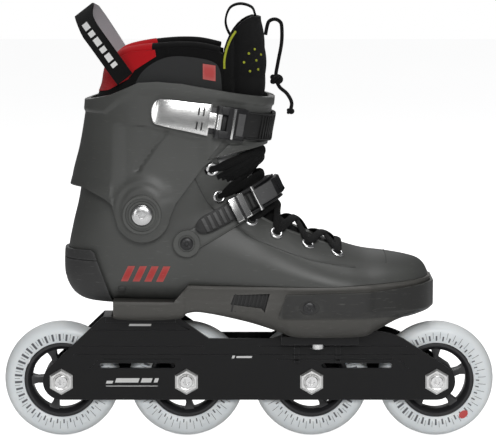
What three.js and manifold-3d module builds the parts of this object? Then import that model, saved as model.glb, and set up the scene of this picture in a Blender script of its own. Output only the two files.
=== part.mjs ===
// One right-foot inline skate: a hinged cuff boot on an extruded frame with four wheels in line.
// Millimetres. +X points to the toe, +Y to the inner side of the foot and +Z up.
// The origin is on the floor, half way between the end wheels, in the plane of the wheels.
import * as THREE from "three";
import { mergeVertices } from "three/addons/utils/BufferGeometryUtils.js";
import Module from "manifold-3d";

const wasm = await Module();
wasm.setup();

// ---- Driving dimensions ----
const GAP = 0.3; // between solids that touch on the real skate
const RUN = 0.2; // radial clearance of a turning fit

const WHEELS = 4;
const WHEEL_DIAMETER = 90;
const WHEEL_GAP = 7; // between one tyre and the next
const TYRE_WIDTH = 24;
const TYRE_CROWN = 6; // width of the flat that rolls on the floor
const CORE_RADIUS = 29;
const CORE_WIDTH = 20;
const HUB_RADIUS = 14.5;
const HUB_WIDTH = 24;
const SPOKES = 5;
const SPOKE_WIDTH = 6;
const RIM_THICKNESS = 6;

const BEARING_RADIUS = 11;
const BEARING_WIDTH = 7;
const INNER_RING_RADIUS = 6.1;
const AXLE_RADIUS = 3.85;
const AXLE_HEAD_RADIUS = 4.9;
const AXLE_HEAD_HEIGHT = 1.4;
const SOCKET_RADIUS = 2.4;
const INSERT_FLATS = 17.6; // hexagon across flats
const INSERT_HEIGHT = 2.6;
const INSERT_BOSS_RADIUS = 7;

const TYRE_CLEARANCE = 1.5; // between a tyre's side and a plate
const PLATE_THICKNESS = 3.5;
const END_RADIUS = 14.5; // of a plate round its end axles
const FRAME_WAIST = 78.6; // top of the plates between the two mounts
const HEEL_MOUNT_TOP = 95.5;
const BALL_MOUNT_TOP = 82.1;
const HEEL_MOUNT_X = -84;
const BALL_MOUNT_X = 53;
const BALL_BOLT_REACH = 6.5; // from a plate's outside to the ball bolts
const WEB_ROOM = 2.07; // between a tyre and the webs that join the plates
const BOLT_RADIUS = 3;
const BOLT_HEAD_RADIUS = 5;
const BOLT_HEAD_HEIGHT = 4;

const WALL = 3.5; // shell and cuff
const CUFF_INSIDE = 3.5; // from the drawn surface of the cuff in to its inside face
const LINER_THICKNESS = 6.5;
const COLLAR_THICKNESS = 8;
const GUARD_THICKNESS = 3;
const SLIDER_THICKNESS = 2.6;

const ANKLE = { x: -81, z: 179 }; // cuff pivot
const ANKLE_BOLT_RADIUS = 4;
const ANKLE_HEAD_RADIUS = 7.8;
const ANKLE_HEAD_HEIGHT = 2.4;
const ANKLE_BOSS_RADIUS = 15;
const ANKLE_BOSS_Y = 51.6;

const INSTEP = { x: -47.3, z: 156.8 }; // the bolts that hold the 45 degree strap
const INSTEP_BOLT_RADIUS = 3;

// The frame and the boot are drawn at their height over wheels of this diameter. LIFT moves
// them for other wheels, and AXLE_Z is the height of the axles in that drawing.
const DRAWN_DIAMETER = 90;
const LIFT = WHEEL_DIAMETER - DRAWN_DIAMETER;
const MID_Z = WHEEL_DIAMETER / 2;
const AXLE_Z = MID_Z - LIFT;
const FRAME_BOTTOM = AXLE_Z - END_RADIUS;
const PITCH = WHEEL_DIAMETER + WHEEL_GAP;
const AXLE_X = Array.from({ length: WHEELS }, (_, i) => (i - (WHEELS - 1) / 2) * PITCH);
const PLATE_INSIDE = TYRE_WIDTH / 2 + TYRE_CLEARANCE;
const PLATE_OUTSIDE = PLATE_INSIDE + PLATE_THICKNESS;
const BALL_BOLT_Y = PLATE_OUTSIDE + BALL_BOLT_REACH;

// ---- Materials ----
const material = (color, roughness, metalness = 0) =>
  new THREE.MeshStandardMaterial({ color, roughness, metalness });
const finish = {
  shell: material(0x4c4e4d, 0.55),
  base: material(0x4a4945, 0.5),
  guard: material(0x2e2f30, 0.6),
  slider: material(0x1c1b1d, 0.5),
  frame: material(0x0e0e0f, 0.35, 0.6),
  steel: material(0xc9cacb, 0.25, 1),
  chrome: material(0xdfe1e3, 0.12, 1),
  tyre: material(0xd9dee0, 0.35),
  core: material(0x17171a, 0.5),
  strap: material(0x2a2b2d, 0.5),
  buckle: material(0x38393b, 0.45),
  lining: material(0x1d1d1f, 0.85),
  collar: material(0x232325, 0.8),
  webbing: material(0x131313, 0.85),
  lace: material(0x0f0f10, 0.9),
};

// ---- Solids ----
function solidOf(geometry) {
  let closed = geometry;
  if (geometry.getAttribute("normal")) {
    const bare = geometry.index ? geometry.toNonIndexed() : geometry.clone();
    bare.deleteAttribute("normal");
    bare.deleteAttribute("uv");
    closed = mergeVertices(bare, 1e-4);
  }
  const triVerts = new Uint32Array(closed.index.array);
  const vertProperties = new Float32Array(closed.attributes.position.array);
  const made = new wasm.Manifold(new wasm.Mesh({ numProp: 3, vertProperties, triVerts }));
  if (made.volume() > 0) return made;
  for (let i = 0; i < triVerts.length; i += 3) {
    [triVerts[i + 1], triVerts[i + 2]] = [triVerts[i + 2], triVerts[i + 1]];
  }
  return new wasm.Manifold(new wasm.Mesh({ numProp: 3, vertProperties, triVerts }));
}

function geometryOf(solid) {
  const { vertProperties, triVerts, numProp, numVert } = solid.getMesh();
  const position = new Float32Array(numVert * 3);
  for (let i = 0; i < numVert; i++) {
    position.set(vertProperties.subarray(i * numProp, i * numProp + 3), i * 3);
  }
  const geometry = new THREE.BufferGeometry();
  geometry.setAttribute("position", new THREE.BufferAttribute(position, 3));
  geometry.setIndex(new THREE.BufferAttribute(triVerts, 1));
  return geometry;
}

const combine = (how) => (first, ...others) =>
  geometryOf(others.reduce((made, next) => made[how](solidOf(next)), solidOf(first)));
const join = combine("add");
const cut = combine("subtract");
const common = combine("intersect");

const skate = new THREE.Group();
const upper = new THREE.Group(); // the frame and all that stands on it
upper.position.z = LIFT;
skate.add(upper);

function addPart(name, geometry, look, parent = upper) {
  const mesh = new THREE.Mesh(geometryOf(solidOf(geometry)), look.clone());
  mesh.name = name;
  parent.add(mesh);
  return mesh;
}

const ordered = (a, b) => [Math.min(a, b), Math.max(a, b)];
const box = (x, y, z) =>
  new THREE.BoxGeometry(x[1] - x[0], y[1] - y[0], z[1] - z[0]).translate(
    (x[0] + x[1]) / 2,
    (y[0] + y[1]) / 2,
    (z[0] + z[1]) / 2,
  );

// A turned piece about +Y. The profile is a list of [radius, y].
// A face, not an edge, looks straight down, so a wheel stands on a flat.
function turned(profile, segments) {
  const points = profile.map(([r, y]) => new THREE.Vector2(r, y));
  return new THREE.LatheGeometry(points, segments, Math.PI / segments);
}

const pinY = (radius, y0, y1, segments = 12) =>
  turned([[0, y0], [radius, y0], [radius, y1], [0, y1]], segments);
const pinZ = (radius, z0, z1, segments = 12) =>
  new THREE.CylinderGeometry(radius, radius, z1 - z0, segments)
    .rotateX(Math.PI / 2)
    .translate(0, 0, (z0 + z1) / 2);

// A side view, drawn as a shape of x and z, made as thick as y0 to y1.
function prism(outline, y0 = -80, y1 = 80, curveSegments = 6) {
  const shape = Array.isArray(outline)
    ? new THREE.Shape(outline.map(([x, z]) => new THREE.Vector2(x, z)))
    : outline;
  const options = { depth: y1 - y0, bevelEnabled: false, curveSegments };
  return new THREE.ExtrudeGeometry(shape, options).rotateX(Math.PI / 2).translate(0, y1, 0);
}

// A closed skin over rings of points. Every ring has the same number of points.
function loft(rings) {
  const count = rings[0].length;
  const middle = (ring) =>
    ring.reduce((sum, p) => sum.add(p), new THREE.Vector3()).divideScalar(count);
  const points = [...rings.flat(), middle(rings[0]), middle(rings.at(-1))];
  const index = [];
  for (let i = 0; i < count; i++) {
    const j = (i + 1) % count;
    for (let k = 0; k < rings.length - 1; k++) {
      const a = k * count;
      const b = a + count;
      index.push(a + i, a + j, b + i, a + j, b + j, b + i);
    }
    const last = (rings.length - 1) * count;
    index.push(points.length - 2, j, i);
    index.push(points.length - 1, last + i, last + j);
  }
  const geometry = new THREE.BufferGeometry().setFromPoints(points);
  geometry.setIndex(index);
  return geometry;
}

// ---- Boot surfaces ----
// A surface is a row of stations along the foot and up the leg. Each station is one cross
// section: [top x, top z, bottom x, bottom z, half width, top power, bottom power, y shift].
// "Top" is the toe's top, the instep or the shin, and "bottom" is the sole, heel or calf.
// The section is a rounded box, rounder with a power near 2 and squarer with a higher one.
const SHELL_STATIONS = [
  [139.2, 124, 139.8, 106, 10, 2.2, 2.6, 6],
  [137.5, 132, 138, 101, 21, 2.2, 2.6, 5.6],
  [132, 138.2, 133, 98, 32, 2.2, 2.8, 5],
  [122, 141.6, 123, 95.5, 41, 2.2, 2.8, 4],
  [105, 144.8, 106, 94, 48, 2.1, 2.8, 2.4],
  [85, 148, 85, 93.5, 51.5, 1.9, 2.8, 0.8],
  [65, 154.5, 63, 93.5, 53, 1.8, 2.8, 0],
  [45, 163.5, 38, 94.5, 52.5, 1.8, 2.8, 0],
  [31, 172, 10, 98, 50.5, 1.85, 2.8, 0],
  [22, 180, -20, 102, 47.5, 1.9, 2.8, 0],
  [16, 188, -55, 106, 45, 2, 2.6, 0],
  [11.5, 197, -95, 107.5, 43, 2, 2.5, 0],
  [9, 205, -125, 111, 42, 2, 2.4, 0],
  [7.5, 212, -138, 124, 41.5, 2.1, 2.3, 0],
  [6.5, 219, -140, 145, 42.5, 2.2, 2.2, 0],
  [6, 226, -136.5, 166, 44, 2.3, 2.2, 0],
  [5, 234, -131.5, 187, 44.5, 2.4, 2.2, 0],
  [4, 243, -128.5, 207, 43.5, 2.4, 2.2, 0],
  [3, 253, -126.5, 228, 43, 2.4, 2.2, 0],
];
const CUFF_STATIONS = [
  [2, 145, -133, 145, 50, 2.8, 2.2, 0],
  [3, 165, -135, 165, 50.5, 2.8, 2.2, 0],
  [5, 185, -137.5, 185, 50, 2.8, 2.2, 0],
  [9, 208, -136.5, 205, 49, 2.9, 2.2, 0],
  [13, 230, -131, 227, 48, 3, 2.2, 0],
  [16, 248, -127.5, 246, 48, 3, 2.2, 0],
  [18.5, 264, -125.5, 262, 48.5, 3, 2.2, 0],
  [19.5, 290, -124.5, 290, 49, 3, 2.2, 0],
];
const COLLAR_STATIONS = [
  [6, 222, -123, 210, 37.2, 2.6, 2.2, 0],
  [8, 240, -121, 236, 37.4, 2.6, 2.2, 0],
  [11, 262, -117, 262, 42.5, 2.6, 2.2, 0],
  [13, 280, -111, 282, 43, 2.5, 2.2, 0],
  [13, 300, -108, 300, 42, 2.4, 2.2, 0],
  [9, 330, -106, 330, 40, 2.4, 2.2, 0],
];

function stationAt(stations, u) {
  const last = stations.length - 1;
  const i = Math.min(Math.max(Math.floor(u), 0), last - 1);
  const t = u - i;
  const near = (k) => stations[Math.min(Math.max(k, 0), last)];
  return near(i).map((_, k) => {
    const [p0, p1, p2, p3] = [i - 1, i, i + 1, i + 2].map((n) => near(n)[k]);
    const slope0 = (p2 - p0) / 2;
    const slope1 = (p3 - p1) / 2;
    return (
      (2 * t ** 3 - 3 * t ** 2 + 1) * p1 +
      (t ** 3 - 2 * t ** 2 + t) * slope0 +
      (3 * t ** 2 - 2 * t ** 3) * p2 +
      (t ** 3 - t ** 2) * slope1
    );
  });
}

const power = (value, exponent) => Math.sign(value) * Math.abs(value) ** exponent;

// The point at "turn" radians round a section: 0 is its top and a quarter turn the inner side.
function pointOn(stations, u, turn, inset) {
  const [tx, tz, bx, bz, half, topPower, bottomPower, shift] = stationAt(stations, u);
  const length = Math.hypot(tx - bx, tz - bz) / 2;
  const c = Math.cos(turn);
  const roundness = 2 / (c > 0 ? topPower : bottomPower);
  const along = (power(c, roundness) * (1 - inset / length)) / 2;
  return new THREE.Vector3(
    (tx + bx) / 2 + along * (tx - bx),
    shift + power(Math.sin(turn), roundness) * (half - inset),
    (tz + bz) / 2 + along * (tz - bz),
  );
}

// The rings lie at "from", at every whole station after it and at "to", so the skins of one
// surface at two insets keep parallel faces.
function skin(stations, inset, { from = 0, to = stations.length - 1, around = 18 } = {}) {
  const places = [from];
  for (let u = Math.floor(from) + 1; u < to; u++) places.push(u);
  places.push(to);
  const turns = Array.from({ length: around }, (_, i) => (2 * Math.PI * i) / around);
  return loft(places.map((u) => turns.map((turn) => pointOn(stations, u, turn, inset))));
}

// A strap lies in a plane that is tilted about Y. "rise" is the plane's slope and z its height
// over x. The result is where the plane meets the skin, at a turn round it.
function pointOnPlane(stations, plane, turn, outset) {
  const heightOver = (p) => p.z - plane.z - plane.rise * (p.x - plane.x);
  let low = 0;
  let high = stations.length - 1;
  for (let i = 0; i < 30; i++) {
    const u = (low + high) / 2;
    if (heightOver(pointOn(stations, u, turn, -outset)) < 0) low = u;
    else high = u;
  }
  return pointOn(stations, low, turn, -outset);
}

// The turn, between the front and the back of one side, at which such a plane reaches x.
function turnAtX(stations, plane, x, side) {
  let front = 0;
  let back = Math.PI;
  for (let i = 0; i < 30; i++) {
    const turn = (front + back) / 2;
    if (pointOnPlane(stations, plane, side * turn, 0).x > x) front = turn;
    else back = turn;
  }
  return side * front;
}

// Steps along a strap between two turns: { at, out, wide } are a point on the skin, the way the
// strap faces and the way its width runs.
function strapPath(stations, plane, from, to, count) {
  const wide = new THREE.Vector3(-plane.rise, 0, 1).normalize();
  const place = (turn) => pointOnPlane(stations, plane, turn, 0);
  return Array.from({ length: count + 1 }, (_, i) => {
    const turn = from + ((to - from) * i) / count;
    const ahead = place(turn + 0.03).sub(place(turn - 0.03));
    return { at: place(turn), out: ahead.cross(wide).normalize(), wide };
  });
}

// A flat band along such steps, between two distances from the skin and two across the width.
function band(path, inner, outer, low, high) {
  return loft(
    path.map(({ at, out, wide }, i) => {
      const t = i / (path.length - 1);
      const value = (v) => (typeof v === "function" ? v(t) : v);
      const corner = (o, w) =>
        at.clone().addScaledVector(out, value(o)).addScaledVector(wide, value(w));
      return [corner(inner, low), corner(outer, low), corner(outer, high), corner(inner, high)];
    }),
  );
}

// ---- Wheels ----
const WHEEL_FACETS = 20;
const TYRE_RADIUS = WHEEL_DIAMETER / 2 / Math.cos(Math.PI / WHEEL_FACETS); // flats touch the floor
const SLEEVE_END = HUB_WIDTH / 2 + 0.15;
const BEARING_SEAT = BEARING_RADIUS + GAP;
const BEARING_DEPTH = HUB_WIDTH / 2 - BEARING_WIDTH - GAP;

// A ring: a rectangle turned about the axle.
const ring = (inner, outer, y0, y1, segments) =>
  turned([[inner, y0], [outer, y0], [outer, y1], [inner, y1], [inner, y0]], segments);

function tyre() {
  const half = TYRE_WIDTH / 2;
  const inner = CORE_RADIUS + GAP;
  const side = [
    [inner, CORE_WIDTH / 2],
    [inner + 6, half],
    [TYRE_RADIUS - 4, half - 3.2],
    [TYRE_RADIUS, TYRE_CROWN / 2],
  ];
  const mirrored = side.map(([r, y]) => [r, -y]).reverse();
  return turned([...side, ...mirrored, side[0]], WHEEL_FACETS);
}

function core() {
  const half = CORE_WIDTH / 2;
  const reach = CORE_RADIUS - RIM_THICKNESS / 2;
  const rim = ring(CORE_RADIUS - RIM_THICKNESS, CORE_RADIUS, -half, half, WHEEL_FACETS);
  const hub = pinY(HUB_RADIUS, -HUB_WIDTH / 2, HUB_WIDTH / 2, WHEEL_FACETS);
  const spokes = Array.from({ length: SPOKES }, (_, i) =>
    box([0, reach], [-half / 2, half / 2], [-SPOKE_WIDTH / 2, SPOKE_WIDTH / 2]).rotateY(
      (2 * Math.PI * i) / SPOKES,
    ),
  );
  return cut(
    join(rim, hub, ...spokes),
    pinY(INNER_RING_RADIUS + 2, -HUB_WIDTH, HUB_WIDTH),
    pinY(BEARING_SEAT, BEARING_DEPTH, HUB_WIDTH),
    pinY(BEARING_SEAT, -HUB_WIDTH, -BEARING_DEPTH),
  );
}

// The turning half of a ball bearing: its outer ring, shields and balls.
const bearing = () =>
  ring(INNER_RING_RADIUS + RUN, BEARING_RADIUS, -BEARING_WIDTH / 2, BEARING_WIDTH / 2, 12);

// The still half: two inner rings with the tube that keeps them apart.
const spacer = () => ring(AXLE_RADIUS + RUN, INNER_RING_RADIUS, -SLEEVE_END, SLEEVE_END, 12);

const INSERT_FACE = PLATE_OUTSIDE + INSERT_HEIGHT;

function axle() {
  const head = -INSERT_FACE + 0.4;
  return cut(
    join(
      pinY(AXLE_RADIUS, head - 0.2, PLATE_OUTSIDE + 1),
      pinY(AXLE_HEAD_RADIUS, head - AXLE_HEAD_HEIGHT, head),
    ),
    pinY(SOCKET_RADIUS, head - 5, head - AXLE_HEAD_HEIGHT + 1.1, 6),
  );
}

function hexInsert() {
  const corner = INSERT_FLATS / Math.sqrt(3);
  const back = -PLATE_OUTSIDE - GAP;
  const profile = [
    [0, -INSERT_FACE],
    [corner - 1.2, -INSERT_FACE],
    [corner, -INSERT_FACE + 0.8],
    [corner, back],
    [0, back],
  ];
  return cut(
    join(
      turned(profile, 6).rotateY(Math.PI / 6),
      pinY(INSERT_BOSS_RADIUS, back - 0.5, -SLEEVE_END - GAP),
    ),
    pinY(AXLE_HEAD_RADIUS + RUN, -INSERT_FACE - 1, -INSERT_FACE + 0.4 + GAP),
    pinY(AXLE_RADIUS + RUN, -40, 0),
  );
}

AXLE_X.forEach((x, i) => {
  const station = new THREE.Group();
  station.position.set(x, 0, MID_Z);
  skate.add(station);
  addPart(`tyre_${i + 1}`, tyre(), finish.tyre, station);
  addPart(`wheel_core_${i + 1}`, core(), finish.core, station);
  for (const [side, sign] of [["outer", -1], ["inner", 1]]) {
    const place = new THREE.Group();
    place.position.y = (sign * (HUB_WIDTH - BEARING_WIDTH)) / 2;
    station.add(place);
    addPart(`bearing_${i + 1}_${side}`, bearing(), finish.steel, place);
  }
  addPart(`bearing_spacer_${i + 1}`, spacer(), finish.steel, station);
  addPart(`axle_${i + 1}`, axle(), finish.steel, station);
  addPart(`hex_insert_${i + 1}`, hexInsert(), finish.steel, station);
});

// ---- Frame ----
const PLATFORM = 3.6; // thickness of the heel platform
const EAR = 6; // thickness of the ball platforms
const SLOT = { z: AXLE_Z + 12.3, half: 2, reach: 27 };
const WEB = { low: FRAME_WAIST - 8, high: FRAME_WAIST - 4 };
const WEB_HALF = PITCH / 2 - Math.sqrt((MID_Z + WEB_ROOM) ** 2 - (WEB.low - AXLE_Z) ** 2);

function plateOutline() {
  const rear = AXLE_X[0];
  const front = AXLE_X.at(-1);
  const shape = new THREE.Shape();
  shape.moveTo(rear, FRAME_BOTTOM);
  shape.lineTo(front, FRAME_BOTTOM);
  shape.absarc(front, AXLE_Z, END_RADIUS, -Math.PI / 2, Math.PI * 0.22, false);
  shape.lineTo(front - 26, FRAME_WAIST);
  shape.quadraticCurveTo(front - 38, BALL_MOUNT_TOP + 2.6, front - 52, BALL_MOUNT_TOP + 2.6);
  shape.lineTo(front - 56, BALL_MOUNT_TOP);
  shape.lineTo(BALL_MOUNT_X - 26, BALL_MOUNT_TOP);
  shape.lineTo(BALL_MOUNT_X - 35, FRAME_WAIST);
  shape.lineTo(HEEL_MOUNT_X + 53, FRAME_WAIST);
  shape.lineTo(HEEL_MOUNT_X + 28.5, HEEL_MOUNT_TOP);
  shape.lineTo(HEEL_MOUNT_X - 29.5, HEEL_MOUNT_TOP);
  shape.absarc(rear, AXLE_Z, END_RADIUS, Math.PI * 0.76, Math.PI * 1.5, false);
  for (const x of [HEEL_MOUNT_X, BALL_MOUNT_X + 29]) {
    const slot = new THREE.Path();
    slot.absarc(x - SLOT.reach, SLOT.z, SLOT.half, Math.PI / 2, Math.PI * 1.5, false);
    slot.absarc(x + SLOT.reach, SLOT.z, SLOT.half, -Math.PI / 2, Math.PI / 2, false);
    shape.holes.push(slot);
  }
  return shape;
}

function frame() {
  const outline = plateOutline();
  const across = [-PLATE_INSIDE - 1, PLATE_INSIDE + 1];
  const heelTop = [HEEL_MOUNT_TOP - PLATFORM, HEEL_MOUNT_TOP];
  const added = [
    prism(outline, -PLATE_OUTSIDE, -PLATE_INSIDE),
    box([HEEL_MOUNT_X - 29, HEEL_MOUNT_X + 28], across, heelTop),
  ];
  for (let i = 1; i < WHEELS; i++) {
    const x = (AXLE_X[i - 1] + AXLE_X[i]) / 2;
    added.push(box([x - WEB_HALF, x + WEB_HALF], across, [WEB.low, WEB.high]));
  }
  for (const side of [-1, 1]) {
    const ear = ordered(side * (PLATE_INSIDE + 0.5), side * (BALL_BOLT_Y + 6.5));
    const height = [BALL_MOUNT_TOP - EAR, BALL_MOUNT_TOP];
    added.push(box([BALL_MOUNT_X - 28, BALL_MOUNT_X + 31], ear, height));
  }
  const removed = [pinZ(BOLT_RADIUS + RUN, 60, 110).translate(HEEL_MOUNT_X, 0, 0)];
  for (const y of [-BALL_BOLT_Y, BALL_BOLT_Y]) {
    removed.push(pinZ(BOLT_RADIUS + RUN, 60, 110).translate(BALL_MOUNT_X, y, 0));
  }
  for (const x of AXLE_X) {
    const boss = pinY(INSERT_BOSS_RADIUS, SLEEVE_END + GAP, PLATE_INSIDE + 1);
    added.push(boss.translate(x, 0, AXLE_Z));
    removed.push(pinY(AXLE_RADIUS + RUN, 0, 40).translate(x, 0, AXLE_Z));
    removed.push(pinY(INSERT_BOSS_RADIUS + RUN, -40, 0).translate(x, 0, AXLE_Z));
  }
  return cut(join(prism(outline, PLATE_INSIDE, PLATE_OUTSIDE), ...added), ...removed);
}
addPart("frame", frame(), finish.frame);

// A socket-head bolt that stands upright, with its head under "seat".
function mountBolt(seat, tip) {
  const head = [seat - GAP - BOLT_HEAD_HEIGHT, seat - GAP];
  return cut(
    join(pinZ(BOLT_RADIUS, seat - 1, tip), pinZ(BOLT_HEAD_RADIUS, ...head, 14)),
    pinZ(2.8, head[0] - 1, head[0] + 2, 6),
  );
}
const HEEL_BOLT_TIP = HEEL_MOUNT_TOP + 9;
const BALL_BOLT_TIP = BALL_MOUNT_TOP + 11;
addPart(
  "heel_mount_bolt",
  mountBolt(HEEL_MOUNT_TOP - PLATFORM, HEEL_BOLT_TIP).translate(HEEL_MOUNT_X, 0, 0),
  finish.steel,
);
for (const [side, sign] of [["outer", -1], ["inner", 1]]) {
  const bolt = mountBolt(BALL_MOUNT_TOP - EAR, BALL_BOLT_TIP);
  addPart(
    `ball_mount_bolt_${side}`,
    bolt.translate(BALL_MOUNT_X, sign * BALL_BOLT_Y, 0),
    finish.steel,
  );
}

// ---- Lower boot ----
// Everything above the line between the base and the shell. The line steps up from the heel.
const aboveSeam = (gap) =>
  prism([
    [-170, 98 + gap],
    [-104 - gap, 98 + gap],
    [-104 - gap, 111 + gap],
    [-57.5, 111 + gap],
    [-46.5, 124.2 + gap],
    [61, 124 + gap],
    [150, 128 + gap],
    [150, 400],
    [-170, 400],
  ]);
const guardOutline = (grow) => [
  [-160, 99 - grow],
  [-108.5 + grow, 101 - grow],
  [-104.5 + grow, 107],
  [-108.8 + grow, 121],
  [-118.8 + grow, 150.3 + grow],
  [-160, 148.5 + grow],
];
const SLIDER_OUTLINE = [
  [28.5, 118.6],
  [22.5, 100],
  [104, 100.3],
  [135, 96.5],
  [160, 96],
  [160, 126.4],
  [92, 120],
];

// The base: [x, bottom z, half width of its flat bottom, half width at the side, y shift].
const BASE_STATIONS = [
  [-108, 103.5, 25, 36.5, 0],
  [-101, HEEL_MOUNT_TOP + GAP, 29, 39, 0],
  [-56, HEEL_MOUNT_TOP + GAP, 29, 43, 0],
  [-47, 101, 31, 44.5, 0],
  [-33, 101.4, 31.5, 47, 0],
  [0, 94, 33, 51.4, 0],
  [24, 86.5, 34, 53.6, 0],
  [38, BALL_MOUNT_TOP + GAP, 34, 54.4, 0],
  [84, BALL_MOUNT_TOP + GAP, 33, 53.4, 0.8],
  [97, 87, 32, 51.2, 1.8],
  [113, 95, 29, 46.6, 3],
  [126, 98.5, 23, 39.4, 4.2],
  [134, 100.5, 15, 30.6, 5],
  [139.6, 103, 8, 18.5, 5.8],
];
const BASE_SIDE_Z = 105;
const BASE_TOP_Z = 134;
const TOE_START = 96;

function baseSkin(outset) {
  const toeEnd = BASE_STATIONS.at(-1)[0];
  const rings = BASE_STATIONS.map(([x, low, flat, side, shift]) => {
    const forward = (outset * Math.max(0, x - TOE_START)) / (toeEnd - TOE_START);
    const knee = Math.max(BASE_SIDE_Z, low + 4);
    const half = [
      [flat, low],
      [flat + (side - flat) * 0.78, low + (knee - low) * 0.42],
      [side + outset, knee],
      [side + outset, BASE_TOP_Z],
    ];
    const section = [...half, ...half.map(([y, z]) => [-y, z]).reverse()];
    return section.map(([y, z]) => new THREE.Vector3(x + forward, y + shift, z));
  });
  return loft(rings);
}

const cavity = () => skin(SHELL_STATIONS, WALL, { from: 1 });
const throughY = (radius, { x, z }) => pinY(radius, -80, 80).translate(x, 0, z);

// The edge of the opening over the foot, from the toe to the top of the shell.
const THROAT = [
  [79, 150.4],
  [58, 154],
  [30, 164.5],
  [8, 176],
  [-8, 188],
  [-15, 200],
  [-22, 215],
  [-30, 240],
];
const SHELL_TOP = [
  [-150, 212],
  [-60, 214],
  [-24, 236],
  [-24, 300],
  [-150, 300],
];

function shell() {
  return cut(
    common(skin(SHELL_STATIONS, 0), aboveSeam(GAP)),
    cavity(),
    prism([...THROAT, [-30, 300], [110, 300], [110, 150.4]]),
    prism(SHELL_TOP),
    throughY(ANKLE_BOLT_RADIUS + RUN, ANKLE),
    throughY(INSTEP_BOLT_RADIUS + RUN, INSTEP),
  );
}
addPart("shell", shell(), finish.shell);

const SCREW = { x: 45.6, z: 108.5, radius: 2.5, head: 4.6, depth: 8 };
const SLIDER_SIDE = 54.4 + SLIDER_THICKNESS;

function base() {
  const bolts = [pinZ(BOLT_RADIUS + RUN, 60, HEEL_BOLT_TIP + GAP).translate(HEEL_MOUNT_X, 0, 0)];
  for (const y of [-BALL_BOLT_Y, BALL_BOLT_Y]) {
    bolts.push(pinZ(BOLT_RADIUS + RUN, 60, BALL_BOLT_TIP + GAP).translate(BALL_MOUNT_X, y, 0));
  }
  const wheelRoom = pinY(MID_Z + 2.5, -PLATE_INSIDE - 1, PLATE_INSIDE + 1, 24);
  return cut(
    baseSkin(0),
    aboveSeam(0),
    prism(guardOutline(GAP)),
    cavity(),
    wheelRoom.translate(AXLE_X[2], 0, AXLE_Z),
    throughY(SCREW.radius + RUN, SCREW),
    ...bolts,
  );
}
addPart("sole_base", base(), finish.base);

function heelGuard() {
  return cut(
    common(
      skin(SHELL_STATIONS, -GUARD_THICKNESS - GAP, { from: 8, to: 17 }),
      prism(guardOutline(0)),
    ),
    skin(SHELL_STATIONS, -GAP, { from: 6, to: 18 }),
  );
}
addPart("heel_guard", heelGuard(), finish.guard);

function slider() {
  return cut(
    common(baseSkin(SLIDER_THICKNESS), prism(SLIDER_OUTLINE)),
    baseSkin(GAP),
    skin(SHELL_STATIONS, -GAP, { from: 0, to: 8 }),
    throughY(SCREW.radius + RUN, SCREW),
  );
}
addPart("toe_slider", slider(), finish.slider);

for (const [side, turn] of [["outer", 0], ["inner", Math.PI]]) {
  const seat = -SLIDER_SIDE - GAP;
  const screw = cut(
    join(pinY(SCREW.head, seat - 1.2, seat), pinY(SCREW.radius, seat - 0.5, seat + SCREW.depth)),
    pinY(1.8, seat - 3, seat - 0.4, 6),
  );
  addPart(
    `slider_screw_${side}`,
    screw.rotateZ(turn).translate(SCREW.x, 0, SCREW.z),
    finish.steel,
  );
}

// ---- Cuff ----
function cuffOutline() {
  const shape = new THREE.Shape();
  shape.moveTo(-150, 260.5);
  shape.lineTo(-116, 267);
  shape.quadraticCurveTo(-90, 280, -72, 280);
  shape.lineTo(-31, 276);
  shape.lineTo(30, 263);
  shape.lineTo(30, 231);
  shape.lineTo(-18, 233);
  shape.lineTo(-27, 227);
  shape.lineTo(-37, 207);
  shape.lineTo(ANKLE.x + 19.5, ANKLE.z - 6);
  shape.absarc(ANKLE.x, ANKLE.z, 21, -Math.PI * 0.1, -Math.PI * 0.85, true);
  shape.lineTo(-104, 186);
  shape.lineTo(-109, 190);
  shape.lineTo(-126, 198);
  shape.lineTo(-150, 199);
  return shape;
}

function cuff() {
  const bosses = [-1, 1].map((side) =>
    pinY(
      ANKLE_BOSS_RADIUS,
      ...ordered(side * (ANKLE_BOSS_Y - 8), side * ANKLE_BOSS_Y),
      20,
    ).translate(ANKLE.x, 0, ANKLE.z),
  );
  return cut(
    common(
      join(skin(CUFF_STATIONS, CUFF_INSIDE - WALL), ...bosses),
      prism(cuffOutline(), -80, 80, 8),
    ),
    skin(CUFF_STATIONS, CUFF_INSIDE),
    box([-10, 40], [7, 15], [200, 300]),
    throughY(ANKLE_BOLT_RADIUS + RUN, ANKLE),
  );
}
addPart("cuff", cuff(), finish.shell);

for (const [side, turn] of [["outer", 0], ["inner", Math.PI]]) {
  const seat = -ANKLE_BOSS_Y - GAP;
  const bolt = cut(
    join(
      pinY(ANKLE_HEAD_RADIUS, seat - ANKLE_HEAD_HEIGHT, seat, 18),
      pinY(ANKLE_BOLT_RADIUS, seat - 0.5, -41.6),
    ),
    pinY(SOCKET_RADIUS + 0.4, seat - 5, seat - 0.6, 6),
  );
  addPart(
    `cuff_pivot_bolt_${side}`,
    bolt.rotateZ(turn).translate(ANKLE.x, 0, ANKLE.z),
    finish.steel,
  );
}

// ---- Liner ----
const LINER_OUT = WALL + 0.6;
const BOOTIE_TOP = [
  [-170, 196],
  [-100, 182],
  [20, 200],
  [20, 300],
  [-170, 300],
];

function bootie() {
  return cut(
    skin(SHELL_STATIONS, LINER_OUT, { from: 2, to: 16 }),
    skin(SHELL_STATIONS, LINER_OUT + LINER_THICKNESS, { from: 3, to: 17 }),
    prism(BOOTIE_TOP),
  );
}
addPart("liner_bootie", bootie(), finish.lining);

const COLLAR_TOP = [
  [-150, 290],
  [-108, 293],
  [-90, 304],
  [-50, 309],
  [-18, 303],
  [60, 280],
];
const COLLAR_FOOT = [
  [-170, 100],
  [60, 100],
  [60, 248],
  [-24, 246],
  [-62, 222],
  [-170, 219],
];
const COLLAR_FRONT = -20;

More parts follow.
